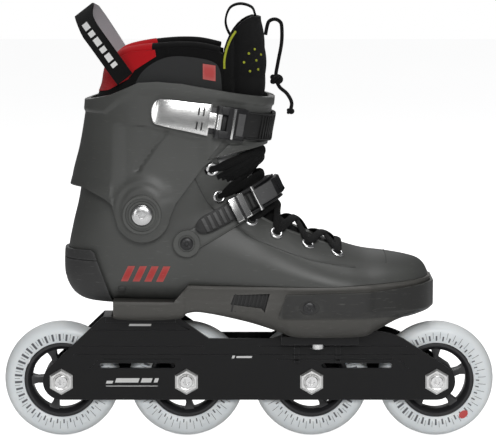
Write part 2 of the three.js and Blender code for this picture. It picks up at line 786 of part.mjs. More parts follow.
function collar() {
  return cut(
    skin(COLLAR_STATIONS, 0),
    skin(COLLAR_STATIONS, COLLAR_THICKNESS),
    prism([...COLLAR_TOP, [60, 400], [-150, 400]]),
    prism(COLLAR_FOOT),
    box([COLLAR_FRONT, 60], [-80, 80], [100, 400]),
  );
}
addPart("liner_collar", collar(), finish.collar);

function tongue() {
  const shape = new THREE.Shape();
  shape.moveTo(COLLAR_FRONT + GAP, 240);
  shape.lineTo(40, 243);
  shape.lineTo(40, 326);
  shape.lineTo(2, 326);
  shape.quadraticCurveTo(-12, 322, COLLAR_FRONT + GAP, 300);
  return cut(
    common(skin(COLLAR_STATIONS, 0.4), prism(shape)),
    skin(COLLAR_STATIONS, COLLAR_THICKNESS),
  );
}
addPart("liner_tongue", tongue(), finish.collar);

// A loop of webbing along points, with its width always in the same direction.
function webbingLoop(points, wide, width, thickness) {
  const curve = new THREE.CatmullRomCurve3(points.map((p) => new THREE.Vector3(...p)));
  const count = 20;
  const path = Array.from({ length: count + 1 }, (_, i) => ({
    at: curve.getPoint(i / count),
    out: curve.getTangent(i / count).cross(wide).normalize(),
    wide,
  }));
  return band(path, -thickness / 2, thickness / 2, -width / 2, width / 2);
}

const HEEL_LEG = [
  [-90, -38.6, 284],
  [-98, -38, 295],
  [-110, -32, 311],
  [-122, -19, 326],
];
const HEEL_LOOP = [
  ...HEEL_LEG,
  [-128, 0, 332],
  ...HEEL_LEG.map(([x, y, z]) => [x, -y, z]).reverse(),
];
const TONGUE_LOOP = [
  [5, 0, 327.4],
  [2, 0, 334],
  [-7, 0, 336.6],
  [-15, 0, 333],
  [-18, 0, 322],
  [-13, 0, 311],
  [-2, 0, 305],
];
addPart(
  "heel_pull_loop",
  webbingLoop(HEEL_LOOP, new THREE.Vector3(0.78, 0, 0.62).normalize(), 24, 1.6),
  finish.webbing,
);
addPart(
  "tongue_pull_loop",
  webbingLoop(TONGUE_LOOP, new THREE.Vector3(0, 1, 0), 18, 1.6),
  finish.webbing,
);

// ---- Instep strap ----
const INSTEP_PLANE = { ...INSTEP, rise: 0.5 };
const LADDER_OFFSET = 6.5; // the ladder runs this far above the bolts' plane
const LADDER_WIDTH = 14;
const ARM_FACE = { inner: 1.8, outer: 5 };
const ARM_END_INNER = 3.8; // the arm stands off where the laces run under it
const LADDER_FACE = { inner: 6.8, outer: 8.6 };
const DISC_RADIUS = 10.4;
const instepTurn = (x, side) => turnAtX(SHELL_STATIONS, INSTEP_PLANE, x, side);
const mix = (a, b) => (t) => a + (b - a) * t;

// A disc that lies on the side of the boot round an anchor bolt.
function anchorDisc(side, inner, outer) {
  const skinY = Math.abs(pointOnPlane(SHELL_STATIONS, INSTEP_PLANE, instepTurn(INSTEP.x, side), 0).y);
  return pinY(DISC_RADIUS, ...ordered(side * (skinY + inner), side * (skinY + outer)), 18).translate(
    INSTEP.x,
    0,
    INSTEP.z,
  );
}

function armBand(grow) {
  const from = instepTurn(INSTEP.x - 1, -1);
  const path = strapPath(SHELL_STATIONS, INSTEP_PLANE, from, -0.26, 12);
  const inner = mix(ARM_FACE.inner - grow, ARM_END_INNER - grow);
  return band(path, inner, ARM_FACE.outer, mix(-8 - grow, -2 - grow), mix(8 + grow, 13 + grow));
}

function instepArm() {
  return cut(
    join(armBand(0), anchorDisc(-1, ARM_FACE.inner + 0.6, ARM_FACE.outer + 0.6)),
    throughY(INSTEP_BOLT_RADIUS + RUN, INSTEP),
  );
}
addPart("instep_strap_arm", instepArm(), finish.shell);

const ladderShift = (t) => LADDER_OFFSET * (1 - Math.max(0, (t - 0.6) / 0.4));
const LADDER_TAIL = -1.4;
const medialAnchor = instepTurn(INSTEP.x - 1, 1);

function ladder() {
  const path = strapPath(SHELL_STATIONS, INSTEP_PLANE, LADDER_TAIL, medialAnchor, 24);
  const sink = (face, rest) => (t) => (t < 0.6 ? face : face + (rest - face) * ((t - 0.6) / 0.4));
  const strip = band(
    path,
    sink(LADDER_FACE.inner, ARM_FACE.inner),
    sink(LADDER_FACE.outer, ARM_FACE.outer),
    (t) => ladderShift(t) - LADDER_WIDTH / 2,
    (t) => ladderShift(t) + LADDER_WIDTH / 2,
  );
  return cut(
    join(strip, anchorDisc(1, ARM_FACE.inner, ARM_FACE.outer + 0.6)),
    throughY(INSTEP_BOLT_RADIUS + RUN, INSTEP),
  );
}
addPart("ladder_strap", ladder(), finish.strap);

// The axes of a strap at one turn: x runs forward along it, y across it and z away from the boot.
function strapFrame(stations, plane, turn, outset, across = 0) {
  const [{ at, out, wide }] = strapPath(stations, plane, turn, turn, 1);
  const forward = wide.clone().cross(out);
  at.addScaledVector(out, outset).addScaledVector(wide, across);
  return new THREE.Matrix4().makeBasis(forward, wide, out).setPosition(at);
}

// The ratchet buckle: two walls and a floor that the ladder runs between, and a lever over it.
const BUCKLE = { rear: -1.02, front: -0.26, floor: 5.3, top: 13, wall: 2 };
const RATCHET = { turn: -0.72, outset: 11.6, pin: 1.6 };
const buckleInside = LADDER_WIDTH / 2 + 0.4;
const buckleOutside = buckleInside + BUCKLE.wall;
const instepBand = (from, to, count, inner, outer, low, high) =>
  band(
    strapPath(SHELL_STATIONS, INSTEP_PLANE, from, to, count),
    inner,
    outer,
    LADDER_OFFSET + low,
    LADDER_OFFSET + high,
  );
const ratchetAxis = () =>
  strapFrame(SHELL_STATIONS, INSTEP_PLANE, RATCHET.turn, RATCHET.outset, LADDER_OFFSET);

function instepBuckle() {
  const { rear, front, floor, top } = BUCKLE;
  const floorTop = LADDER_FACE.inner - GAP;
  return cut(
    join(
      instepBand(rear, front, 8, floor, floorTop, -buckleOutside, buckleOutside),
      instepBand(rear, front, 8, floor, top, buckleInside, buckleOutside),
      instepBand(rear, front, 8, floor, top, -buckleOutside, -buckleInside),
      instepBand(rear, rear + 0.16, 2, 10, top, -buckleOutside, buckleOutside),
    ),
    pinY(RATCHET.pin + RUN, -20, 20).applyMatrix4(ratchetAxis()),
  );
}
addPart("instep_buckle", instepBuckle(), finish.buckle);

function ratchetLever() {
  const half = buckleInside - GAP;
  return join(
    instepBand(RATCHET.turn - 0.02, -0.06, 8, 10, 13.4, -half, half),
    pinY(RATCHET.pin, -buckleOutside, buckleOutside).applyMatrix4(ratchetAxis()),
  );
}
addPart("instep_ratchet_lever", ratchetLever(), finish.buckle);

const anchorSkinY = Math.abs(
  pointOnPlane(SHELL_STATIONS, INSTEP_PLANE, instepTurn(INSTEP.x, 1), 0).y,
);
for (const [side, turn] of [["outer", 0], ["inner", Math.PI]]) {
  const seat = -anchorSkinY - ARM_FACE.outer - 0.6 - GAP;
  const bolt = cut(
    join(
      pinY(AXLE_HEAD_RADIUS, seat - 1.8, seat),
      pinY(INSTEP_BOLT_RADIUS, seat - 0.5, -anchorSkinY + WALL),
    ),
    pinY(SOCKET_RADIUS, seat - 5, seat - 0.6, 6),
  );
  addPart(
    `instep_bolt_${side}`,
    bolt.rotateZ(turn).translate(INSTEP.x, 0, INSTEP.z),
    finish.steel,
  );
}

// ---- Cuff buckle ----
const CUFF_PLANE = { x: -21, z: 249.5, rise: -0.17 };
const HINGE = { turn: -1.27, outset: 5, pin: 1.3, barrel: 2.7, neck: 5.8 };
const LEVER_FACE = { inner: 2.3, outer: 3.9 };
const LEVER_HALF = 12.2;
const BLOCK = { rear: -1.18, front: -0.93, top: 8.2 };
const STRAP_HALF = 10.5;
const STRAP_FACE = { inner: 1, outer: 3.4 };
const STRAP_HINGE = 1.42;
const CUFF_FACE = WALL - CUFF_INSIDE; // the cuff's outside, from its drawn surface
const cuffBand = (from, to, count, inner, outer, low, high) => {
  const path = strapPath(CUFF_STATIONS, CUFF_PLANE, from, to, count);
  return band(path, CUFF_FACE + inner, CUFF_FACE + outer, low, high);
};
const leverAxis = () =>
  strapFrame(CUFF_STATIONS, CUFF_PLANE, HINGE.turn, CUFF_FACE + HINGE.outset);

function cuffBuckle() {
  const lugs = [-1, 1].flatMap((side) => {
    const [low, high] = ordered(side * (HINGE.neck + GAP), side * LEVER_HALF);
    return [
      pinY(HINGE.barrel, low, high).applyMatrix4(leverAxis()),
      cuffBand(HINGE.turn, BLOCK.rear + 0.02, 2, LEVER_FACE.inner, BLOCK.top - 0.6, low, high),
    ];
  });
  return cut(
    join(
      cuffBand(-1.5, BLOCK.front, 8, 0.8, LEVER_FACE.inner - GAP, -10, 10),
      cuffBand(BLOCK.rear, BLOCK.front, 4, 0.8, BLOCK.top, -LEVER_HALF, LEVER_HALF),
      ...lugs,
    ),
    pinY(HINGE.pin + RUN, -20, 20).applyMatrix4(leverAxis()),
  );
}
addPart("cuff_buckle_base", cuffBuckle(), finish.buckle);

function cuffLever() {
  const { inner, outer } = LEVER_FACE;
  const taper = mix(9.4, LEVER_HALF);
  return cut(
    join(
      cuffBand(-1.805, -1.36, 10, inner, outer, (t) => -taper(t), taper),
      cuffBand(-1.37, HINGE.turn, 2, inner, outer, -HINGE.neck, HINGE.neck),
      pinY(HINGE.barrel, -HINGE.neck, HINGE.neck).applyMatrix4(leverAxis()),
    ),
    pinY(HINGE.pin + RUN, -20, 20).applyMatrix4(leverAxis()),
  );
}
addPart("cuff_lever", cuffLever(), finish.chrome);
addPart(
  "cuff_lever_pin",
  pinY(HINGE.pin, -LEVER_HALF + 0.6, LEVER_HALF - 0.6).applyMatrix4(leverAxis()),
  finish.steel,
);

// The strap runs round the front. It bends where it leaves its riveted end.
const { inner: strapIn, outer: strapOut } = STRAP_FACE;
addPart(
  "cuff_strap",
  cuffBand(BLOCK.front + 0.02, STRAP_HINGE, 18, strapIn, strapOut, -STRAP_HALF, STRAP_HALF),
  finish.strap,
);
addPart(
  "cuff_strap_anchor",
  cuffBand(STRAP_HINGE + 0.02, 1.7, 4, 0.5, strapOut, -STRAP_HALF, STRAP_HALF),
  finish.strap,
);

// ---- Laces ----
// Eyelets from the toe up: places on the shell's skin, the same on both sides.
const EYELETS = [
  { u: 5.85, turn: 0.62 },
  { u: 6.95, turn: 0.69 },
  { u: 8.5, turn: 0.82 },
  { u: 10.1, turn: 0.89 },
  { u: 11.45, turn: 0.89 },
  { u: 12.75, turn: 0.97 },
  { u: 15.1, turn: 1.08 },
];
const LACE_WIDTH = 6;
const LACE_FACE = { inner: 0.8, outer: 1.5 };
const LACE_LIFT = 0.45; // of a strand that arches over another

// A strand of lace over the shell, straight in the skin's own coordinates.
function strand(from, to, lift = 0) {
  const count = 6;
  const at = (t) =>
    pointOn(
      SHELL_STATIONS,
      from.u + (to.u - from.u) * t,
      from.turn + (to.turn - from.turn) * t,
      0,
    );
  const path = Array.from({ length: count + 1 }, (_, i) => {
    const t = -0.03 + (1.06 * i) / count;
    const along = at(t + 0.02).sub(at(t - 0.02)).normalize();
    const turn = from.turn + (to.turn - from.turn) * t;
    const up = pointOn(SHELL_STATIONS, from.u + (to.u - from.u) * t + 0.05, turn, 0).sub(at(t));
    const out = along.clone().cross(up).normalize();
    return { at: at(t), out, wide: out.clone().cross(along).normalize() };
  });
  const raised = (face) => (t) => face + lift * (1 + Math.sin(Math.PI * t));
  const { inner, outer } = LACE_FACE;
  return band(path, raised(inner), raised(outer), -LACE_WIDTH / 2, LACE_WIDTH / 2);
}

function laces() {
  const outer = ({ u, turn }) => ({ u, turn: -turn });
  const strands = [strand(outer(EYELETS[0]), EYELETS[0])];
  for (let i = 1; i < EYELETS.length; i++) {
    strands.push(strand(outer(EYELETS[i - 1]), EYELETS[i]));
    strands.push(strand(outer(EYELETS[i]), EYELETS[i - 1], LACE_LIFT));
  }
  for (const u of [14, 14.6]) {
    strands.push(strand({ u, turn: -1.08 }, { u, turn: 1.08 }, LACE_LIFT / 2));
  }
  return cut(join(...strands), armBand(GAP));
}
addPart("shell_laces", laces(), finish.lace);

// The liner's own cord leaves the tongue, turns over and hangs in front of it.
const CORD_RADIUS = 1.4;
const LINER_CORD = [
  [12.6, -6, 313],
  [16, -7, 321],
  [21, -8, 323.5],
  [24, -9, 318],
  [22, -9, 303],
  [20, -8, 288],
  [19.5, -8, 278],
  [24, -11, 272.5],
  [29.5, -16, 269],
  [32.5, -20, 263],
  [31.5, -22, 257],
];
function tube(points, radius, steps, sides) {
  const section = new THREE.Shape(
    Array.from({ length: sides }, (_, i) => {
      const turn = (2 * Math.PI * i) / sides;
      return new THREE.Vector2(radius * Math.cos(turn), radius * Math.sin(turn));
    }),
  );
  const extrudePath = new THREE.CatmullRomCurve3(points.map((p) => new THREE.Vector3(...p)));
  return new THREE.ExtrudeGeometry(section, { extrudePath, steps, bevelEnabled: false });
}
addPart("liner_cord", tube(LINER_CORD, CORD_RADIUS, 22, 8), finish.lace);

// ---- Insole ----
const INSOLE_TOP = [
  [-128, 123.5],
  [-95, 122.5],
  [-20, 117.5],
  [10, 113],
  [60, 109],
  [121, 109.5],
];
function insole() {
  const inset = LINER_OUT + LINER_THICKNESS + 2 * GAP;
  return common(
    skin(SHELL_STATIONS, inset, { from: 3.2, to: 17 }),
    prism([...INSOLE_TOP, [121, 60], [-128, 60]]),
  );
}
addPart("insole", insole(), finish.lining);

export default skate;
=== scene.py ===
import math

import bmesh
import bpy
import numpy as np
from mathutils import Matrix, Vector


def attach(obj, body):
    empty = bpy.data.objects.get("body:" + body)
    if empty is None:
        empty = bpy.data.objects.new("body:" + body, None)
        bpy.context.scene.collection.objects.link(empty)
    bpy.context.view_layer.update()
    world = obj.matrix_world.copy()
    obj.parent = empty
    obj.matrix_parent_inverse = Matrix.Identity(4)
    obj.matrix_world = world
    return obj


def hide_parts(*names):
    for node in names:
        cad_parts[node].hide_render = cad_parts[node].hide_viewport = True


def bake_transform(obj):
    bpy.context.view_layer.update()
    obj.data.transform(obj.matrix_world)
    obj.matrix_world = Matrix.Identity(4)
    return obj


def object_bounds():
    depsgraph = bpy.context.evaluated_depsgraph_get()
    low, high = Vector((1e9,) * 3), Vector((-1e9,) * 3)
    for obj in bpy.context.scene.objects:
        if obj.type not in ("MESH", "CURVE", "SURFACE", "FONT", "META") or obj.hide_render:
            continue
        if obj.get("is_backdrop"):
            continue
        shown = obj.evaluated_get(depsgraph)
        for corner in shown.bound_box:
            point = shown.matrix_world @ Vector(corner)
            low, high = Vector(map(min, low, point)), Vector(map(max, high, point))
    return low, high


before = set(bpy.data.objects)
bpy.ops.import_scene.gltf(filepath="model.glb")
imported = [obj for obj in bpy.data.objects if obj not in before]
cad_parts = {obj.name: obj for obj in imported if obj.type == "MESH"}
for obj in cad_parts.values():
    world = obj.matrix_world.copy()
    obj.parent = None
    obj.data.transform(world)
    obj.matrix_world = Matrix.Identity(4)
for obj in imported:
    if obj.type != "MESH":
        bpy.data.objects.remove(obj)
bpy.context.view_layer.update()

# ---- Room and camera ----
# A pale floor under three soft boxes and a side card, and a long lens that looks at the
# outer side of the boot from a little above.
scene = bpy.context.scene
LENS_MM = 187
EYE = Vector((-0.0008, -1.985, 0.412))
LOOK_AT = Vector((-0.0008, 0, 0.1687))

camera_data = bpy.data.cameras.new("side_camera")
camera_data.lens = LENS_MM
camera_data.sensor_width = 36
camera = bpy.data.objects.new("side_camera", camera_data)
camera.location = EYE
camera.rotation_euler = (LOOK_AT - EYE).to_track_quat("-Z", "Y").to_euler()
scene.collection.objects.link(camera)
scene.camera = camera
scene.view_settings.view_transform = "Standard"


def soft_box(name, place, aim, size, watts):
    light = bpy.data.lights.new(name, "AREA")
    light.shape = "RECTANGLE"
    light.size, light.size_y = size
    light.energy = watts
    lamp = bpy.data.objects.new(name, light)
    lamp.location = place
    lamp.rotation_euler = (Vector(aim) - Vector(place)).to_track_quat("-Z", "Y").to_euler()
    scene.collection.objects.link(lamp)


soft_box("key_box", (0.25, -1.9, 1.05), (0, 0, 0.15), (0.9, 0.6), 20)
soft_box("side_card", (-1.0, -1.7, 0.42), (0, 0, 0.2), (0.35, 0.7), 2.2)
soft_box("top_box", (0.1, 0.1, 1.9), (0, 0, 0.1), (1.5, 0.8), 15)
soft_box("back_box", (-0.4, 1.7, 1.1), (0, 0, 0.2), (1.6, 1.0), 6)


def plain_material(name, colour, roughness, metallic=0.0):
    """A material with its Principled shader, for the effects below to be plugged into."""
    made = bpy.data.materials.new(name)
    made.use_nodes = True
    shader = made.node_tree.nodes["Principled BSDF"]
    shader.inputs["Base Color"].default_value = (*colour, 1)
    shader.inputs["Roughness"].default_value = roughness
    shader.inputs["Metallic"].default_value = metallic
    return made, made.node_tree, shader


def node(tree, kind, wires=(), **settings):
    """A shader node with its settings and with wires from outputs or plain values."""
    made = tree.nodes.new("ShaderNode" + kind)
    for key, value in settings.items():
        setattr(made, key, value)
    for socket, source in dict(wires).items():
        if isinstance(source, bpy.types.NodeSocket):
            tree.links.new(source, made.inputs[socket])
        else:
            made.inputs[socket].default_value = source
    return made


FLOOR_HALF, FLOOR_DROP = 6.0, -0.0004
GLOW_FELT, GLOW_SEEN = 0.05, 0.97
AIR_FELT, AIR_SEEN = 0.085, 1.0


def lay_floor():
    """A pale floor just under the wheels: bright to the camera, and a dim light to the rest."""
    mesh = bpy.data.meshes.new("studio_floor")
    half, drop = FLOOR_HALF, FLOOR_DROP
    corners = [(-half, -half, drop), (half, -half, drop), (half, half, drop), (-half, half, drop)]
    mesh.from_pydata(corners, [], [(0, 1, 2, 3)])
    floor = bpy.data.objects.new("studio_floor", mesh)
    scene.collection.objects.link(floor)
    paint, tree, shader = plain_material("pale_floor", (0.9, 0.9, 0.9), 0.6)
    mottle = node(tree, "TexNoise", {"Scale": 3.0}).outputs["Fac"]
    pale, paler = (0.89, 0.89, 0.89, 1), (0.93, 0.93, 0.93, 1)
    blend = node(tree, "Mix", data_type="RGBA")
    blend.inputs["A"].default_value, blend.inputs["B"].default_value = pale, paler
    tree.links.new(mottle, blend.inputs["Factor"])
    seen = node(tree, "LightPath").outputs["Is Camera Ray"]
    glow = node(tree, "MapRange", {"Value": seen, "To Min": GLOW_FELT, "To Max": GLOW_SEEN})
    tree.links.new(blend.outputs["Result"], shader.inputs["Base Color"])
    tree.links.new(blend.outputs["Result"], shader.inputs["Emission Color"])
    tree.links.new(glow.outputs["Result"], shader.inputs["Emission Strength"])
    mesh.materials.append(paint)
    floor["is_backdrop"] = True


def fill_air():
    """White air where the camera sees it, and a dim, cool fill where surfaces feel it."""
    world = bpy.data.worlds.new("studio_air")
    world.use_nodes = True
    air = world.node_tree
    seen = air.nodes["Background"]
    seen.inputs["Color"].default_value = (1, 1, 1, 1)
    seen.inputs["Strength"].default_value = AIR_SEEN
    felt = node(air, "Background", {"Color": (0.97, 0.98, 1.0, 1), "Strength": AIR_FELT})
    ray = node(air, "LightPath").outputs["Is Camera Ray"]
    both = {"Fac": ray, 1: felt.outputs["Background"], 2: seen.outputs["Background"]}
    either = node(air, "MixShader", both)
    air.links.new(either.outputs["Shader"], air.nodes["World Output"].inputs["Surface"])
    scene.world = world


lay_floor()
fill_air()

# ---- Liner cord ----
# The thin braided cord of the liner: it leaves the top of the tongue, turns over in a
# narrow loop, passes a toggle and ends in a knot. It is one tube along its own line.
MM = 0.001
CORD_RADIUS = 1.4
KNOT_SIZE, TOGGLE_SIZE = 2.6, 4.4
TOGGLE_AT = (20.8, -8.4, 279)
CORD_LINE = [
    (12.6, -6, 313), (13.8, -6.6, 319.4), (15.4, -7.1, 323.4), (19.4, -7.6, 325),
    (23.4, -8.1, 323.4), (25, -8.6, 319.4), (24.9, -9, 307), (22.2, -8.4, 292), (20.6, -8, 281),
    (23.2, -10, 273.5), (29, -15.5, 268.5), (32.5, -20, 262), (31.5, -22, 255.5),
]


def eased(points, per_span=6):
    """A smooth line through points, with per_span steps between neighbours."""
    p = np.array(points, float)
    p = np.vstack([2 * p[0] - p[1], p, 2 * p[-1] - p[-2]])
    steps = np.linspace(0, 1, per_span, endpoint=False)[:, None]
    line = []
    for a, b, c, d in zip(p, p[1:], p[2:], p[3:]):
        slope0, slope1 = (c - a) / 2, (d - b) / 2
        cube, square = steps**3, steps**2
        line.append(
            (2 * cube - 3 * square + 1) * b + (cube - 2 * square + steps) * slope0
            + (3 * square - 2 * cube) * c + (cube - square) * slope1
        )
    return np.vstack([*line, p[-2:-1]])


def lofted(rings, capped=True):
    """Corners and faces of a skin over closed rings, with a middle point in each end."""
    rings = np.asarray(rings, float)
    count, around = rings.shape[:2]
    k, i = np.meshgrid(np.arange(count - 1), np.arange(around), indexing="ij")
    j = (i + 1) % around
    quads = np.stack([k * around + i, k * around + j, (k + 1) * around + j, (k + 1) * around + i], -1)
    faces = quads.reshape(-1, 4).tolist()
    verts = rings.reshape(-1, 3)
    if capped:
        verts = np.vstack([verts, rings[0].mean(0), rings[-1].mean(0)])
        first, last = len(verts) - 2, len(verts) - 1
        faces += [[first, (n + 1) % around, n] for n in range(around)]
        end = (count - 1) * around
        faces += [[last, end + n, end + (n + 1) % around] for n in range(around)]
    return verts, faces


def along(line):
    """Unit tangents of a line of points."""
    step = np.gradient(line, axis=0)
    return step / np.linalg.norm(step, axis=1)[:, None]


def rope(line, radii, up=(0, 1, 0), sides=12):
    """A round or oval tube along a line. radii are across "up" and along it."""
    ahead = along(line)
    up = np.broadcast_to(np.asarray(up, float), line.shape)
    side = np.cross(ahead, up)
    side /= np.linalg.norm(side, axis=1)[:, None]
    rise = np.cross(side, ahead)
    turn = np.linspace(0, 2 * math.pi, sides, endpoint=False)
    wide, high = (np.broadcast_to(r, len(line))[:, None, None] for r in radii)
    rings = (
        line[:, None] + wide * np.cos(turn)[None, :, None] * side[:, None]
        + high * np.sin(turn)[None, :, None] * rise[:, None]
    )
    return lofted(rings)


def solid(name, verts, faces):
    """A closed mesh, given in millimetres, as an object in metres with its faces out."""
    mesh = bpy.data.meshes.new(name)
    mesh.from_pydata((np.asarray(verts, float) * MM).tolist(), [], faces)
    work = bmesh.new()
    work.from_mesh(mesh)
    bmesh.ops.remove_doubles(work, verts=work.verts, dist=2e-6)
    bmesh.ops.recalc_face_normals(work, faces=work.faces)
    work.to_mesh(mesh)
    work.free()
    obj = bpy.data.objects.new(name, mesh)
    scene.collection.objects.link(obj)
    return obj


def fit(obj, finish, body, stands_for=(), crease=32):
    """Gives a piece its finish, puts it on its body and hides what it stands for."""
    mesh = obj.data
    if not any(mesh.materials):
        mesh.materials.clear()
        mesh.materials.append(finish)
    mesh.shade_smooth()
    mesh.set_sharp_from_angle(angle=math.radians(crease))
    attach(obj, body)
    if stands_for:
        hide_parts(*stands_for)
    return obj


def effect(name, sockets_in, sockets_out):
    """An empty effect group: its tree, its input node's outputs and its output node's inputs."""
    tree = bpy.data.node_groups.new(name, "ShaderNodeTree")
    kinds = {"f": "NodeSocketFloat", "c": "NodeSocketColor", "v": "NodeSocketVector"}
    for label, kind, value in sockets_in:
        socket = tree.interface.new_socket(name=label, in_out="INPUT", socket_type=kinds[kind])
        if kind == "f":
            socket.default_value = value
        elif kind == "c":
            socket.default_value = (*value, 1)
    for label, kind in sockets_out:
        tree.interface.new_socket(name=label, in_out="OUTPUT", socket_type=kinds[kind])
    return tree, tree.nodes.new("NodeGroupInput").outputs, tree.nodes.new("NodeGroupOutput").inputs


def maths(tree, how, a, b):
    """The output of a Math node on two values or outputs."""
    return node(tree, "Math", {0: a, 1: b}, operation=how).outputs[0]


def colour_mix(tree, share, a, b):
    """The colour that lies a share of the way from a to b."""
    made = node(tree, "Mix", {"Factor": share, "A": a, "B": b}, data_type="RGBA")
    return made.outputs["Result"]


def build_weave():
    """Woven threads: two crossed waves. It gives the colour of the cloth and its normal."""
    tree, given, out = effect(
        "woven_threads",
        [("Thread", "c", (0.02, 0.02, 0.02)), ("Gap", "c", (0.005, 0.005, 0.005)),
         ("Threads per metre", "f", 900), ("Depth", "f", 0.4)],
        [("Color", "c"), ("Normal", "v"), ("Roughness", "f")],
    )
    place = node(tree, "TexCoord").outputs["Object"]
    waves = []
    for direction in ("X", "Z"):
        wave = node(
            tree, "TexWave",
            {"Vector": place, "Scale": given["Threads per metre"], "Distortion": 0.6, "Detail": 1.0},
            bands_direction=direction,
        )
        waves.append(wave.outputs["Fac"])
    height = maths(tree, "MULTIPLY", waves[0], waves[1])
    fuzz = node(tree, "TexNoise", {"Vector": place, "Scale": 900.0, "Detail": 3.0}).outputs["Fac"]
    tree.links.new(colour_mix(tree, height, given["Gap"], given["Thread"]), out["Color"])
    relief = maths(tree, "ADD", height, maths(tree, "MULTIPLY", fuzz, 0.5))
    bump = node(tree, "Bump", {"Height": relief, "Strength": given["Depth"], "Distance": 0.0004})
    tree.links.new(bump.outputs["Normal"], out["Normal"])
    rough = node(tree, "MapRange", {"Value": fuzz, "To Min": 0.72, "To Max": 0.95})
    tree.links.new(rough.outputs["Result"], out["Roughness"])
    return tree


weave = build_weave()


def finished(name, colour, roughness, group_tree, values, metallic=0.0):
    """A material whose colour, normal and roughness come from one effect group."""
    made, tree, shader = plain_material(name, colour, roughness, metallic)
    group = tree.nodes.new("ShaderNodeGroup")
    group.node_tree = group_tree
    for label, value in values.items():
        group.inputs[label].default_value = (*value, 1) if isinstance(value, tuple) else value
    for output, socket in (("Color", "Base Color"), ("Normal", "Normal"), ("Roughness", "Roughness")):
        tree.links.new(group.outputs[output], shader.inputs[socket])
    return made, shader


def cloth(name, thread, gap, threads=900.0, depth=0.5, sheen=0.04):
    """Woven or knitted fabric."""
    values = {"Thread": thread, "Gap": gap, "Threads per metre": threads, "Depth": depth}
    made, shader = finished(name, thread, 0.85, weave, values)
    shader.inputs["Sheen Weight"].default_value = sheen
    shader.inputs["Specular IOR Level"].default_value = 0.12
    return made


black_braid = cloth("black_braid", (0.016, 0.016, 0.017), (0.004, 0.004, 0.004), 1400.0, 0.7)

cord_path = eased(CORD_LINE, 8)
liner_cord = solid("liner_cord_braid", *rope(cord_path, (CORD_RADIUS, CORD_RADIUS), sides=14))
fit(liner_cord, black_braid, "cuff", ["liner_cord"])


def knot(name, centre, size):
    """A tight overhand knot: one thick turn of the cord that closes on itself."""
    t = np.linspace(0, 2 * math.pi, 60)
    r = size * (0.55 + 0.28 * np.cos(3 * t))
    line = np.array(centre) + np.stack(
        [r * np.cos(2 * t), r * np.sin(2 * t), size * 0.45 * np.sin(3 * t)], -1
    )
    return solid(name, *rope(line, (size * 0.42, size * 0.42), up=(0.3, 0.2, 0.93), sides=10))


end_knot = knot("liner_cord_knot", CORD_LINE[-1], KNOT_SIZE)
fit(end_knot, black_braid, "cuff")
cord_toggle = knot("liner_cord_toggle", TOGGLE_AT, TOGGLE_SIZE)
fit(cord_toggle, black_braid, "cuff")

# ---- Wheels ----
# Four poured urethane tyres, milky and slightly see-through, each on a black spoked core
# that clips round two bearings. Dark ticks are printed round the inside of the tyre.
WHEELS = 4
PITCH = 97
WHEEL_RADIUS = 45
TYRE_HALF = 12
CORE_RADIUS = 29
CORE_HALF = 10
SPOKES = 5
TICKS = 40
AXLE_X = [(i - (WHEELS - 1) / 2) * PITCH for i in range(WHEELS)]


def turned(profile, around=96, twist=0.0):
    """Corners and faces of a profile of (radius, y) turned about the axle, closed on itself."""
    turn = np.linspace(0, 2 * math.pi, around, endpoint=False) + twist
    rings = [
        np.stack([r * np.cos(turn), np.full(around, float(y)), r * np.sin(turn)], -1)
        for r, y in profile
    ]
    return lofted([*rings, rings[0]], capped=False)


def moved(shape, x=0.0, y=0.0, z=0.0):
    """Corners and faces shifted."""
    verts, faces = shape
    return np.asarray(verts, float) + np.array([x, y, z]), faces


def settle(obj):
    """Applies an object's modifiers."""
    graph = bpy.context.evaluated_depsgraph_get()
    made = bpy.data.meshes.new_from_object(obj.evaluated_get(graph))
    obj.modifiers.clear()
    old, obj.data = obj.data, made
    bpy.data.meshes.remove(old)
    return obj


def machined(obj, how, *tools):
    """Cuts tools from an object, joins them on or keeps what they share, then drops them."""
    for tool in tools:
        step = obj.modifiers.new("step", "BOOLEAN")
        step.operation, step.solver, step.object = how, "MANIFOLD", tool
    settle(obj)
    for tool in tools:
        bpy.data.objects.remove(tool)
    return obj


def round_edges(obj, width, segments=2, angle=38, finish=-1):
    """Rounds or chamfers sharp edges. finish is the material slot of the new faces."""
    edge = obj.modifiers.new("round", "BEVEL")
    edge.material = finish
    edge.width, edge.segments = width * MM, segments
    edge.limit_method, edge.angle_limit = "ANGLE", math.radians(angle)
    edge.use_clamp_overlap = True
    return settle(obj)


def prism(outline, y0, y1):
    """A side view of (x, z) corners made as thick as y0 to y1."""
    n = len(outline)
    verts = [(x, y0, z) for x, z in outline] + [(x, y1, z) for x, z in outline]
    faces = [list(range(n)), list(range(2 * n - 1, n - 1, -1))]
    faces += [[i, n + i, n + (i + 1) % n, (i + 1) % n] for i in range(n)]
    return verts, faces


def block(x, y, z):
    """A box between two values of x, of y and of z."""
    return prism([(x[0], z[0]), (x[1], z[0]), (x[1], z[1]), (x[0], z[1])], *y)


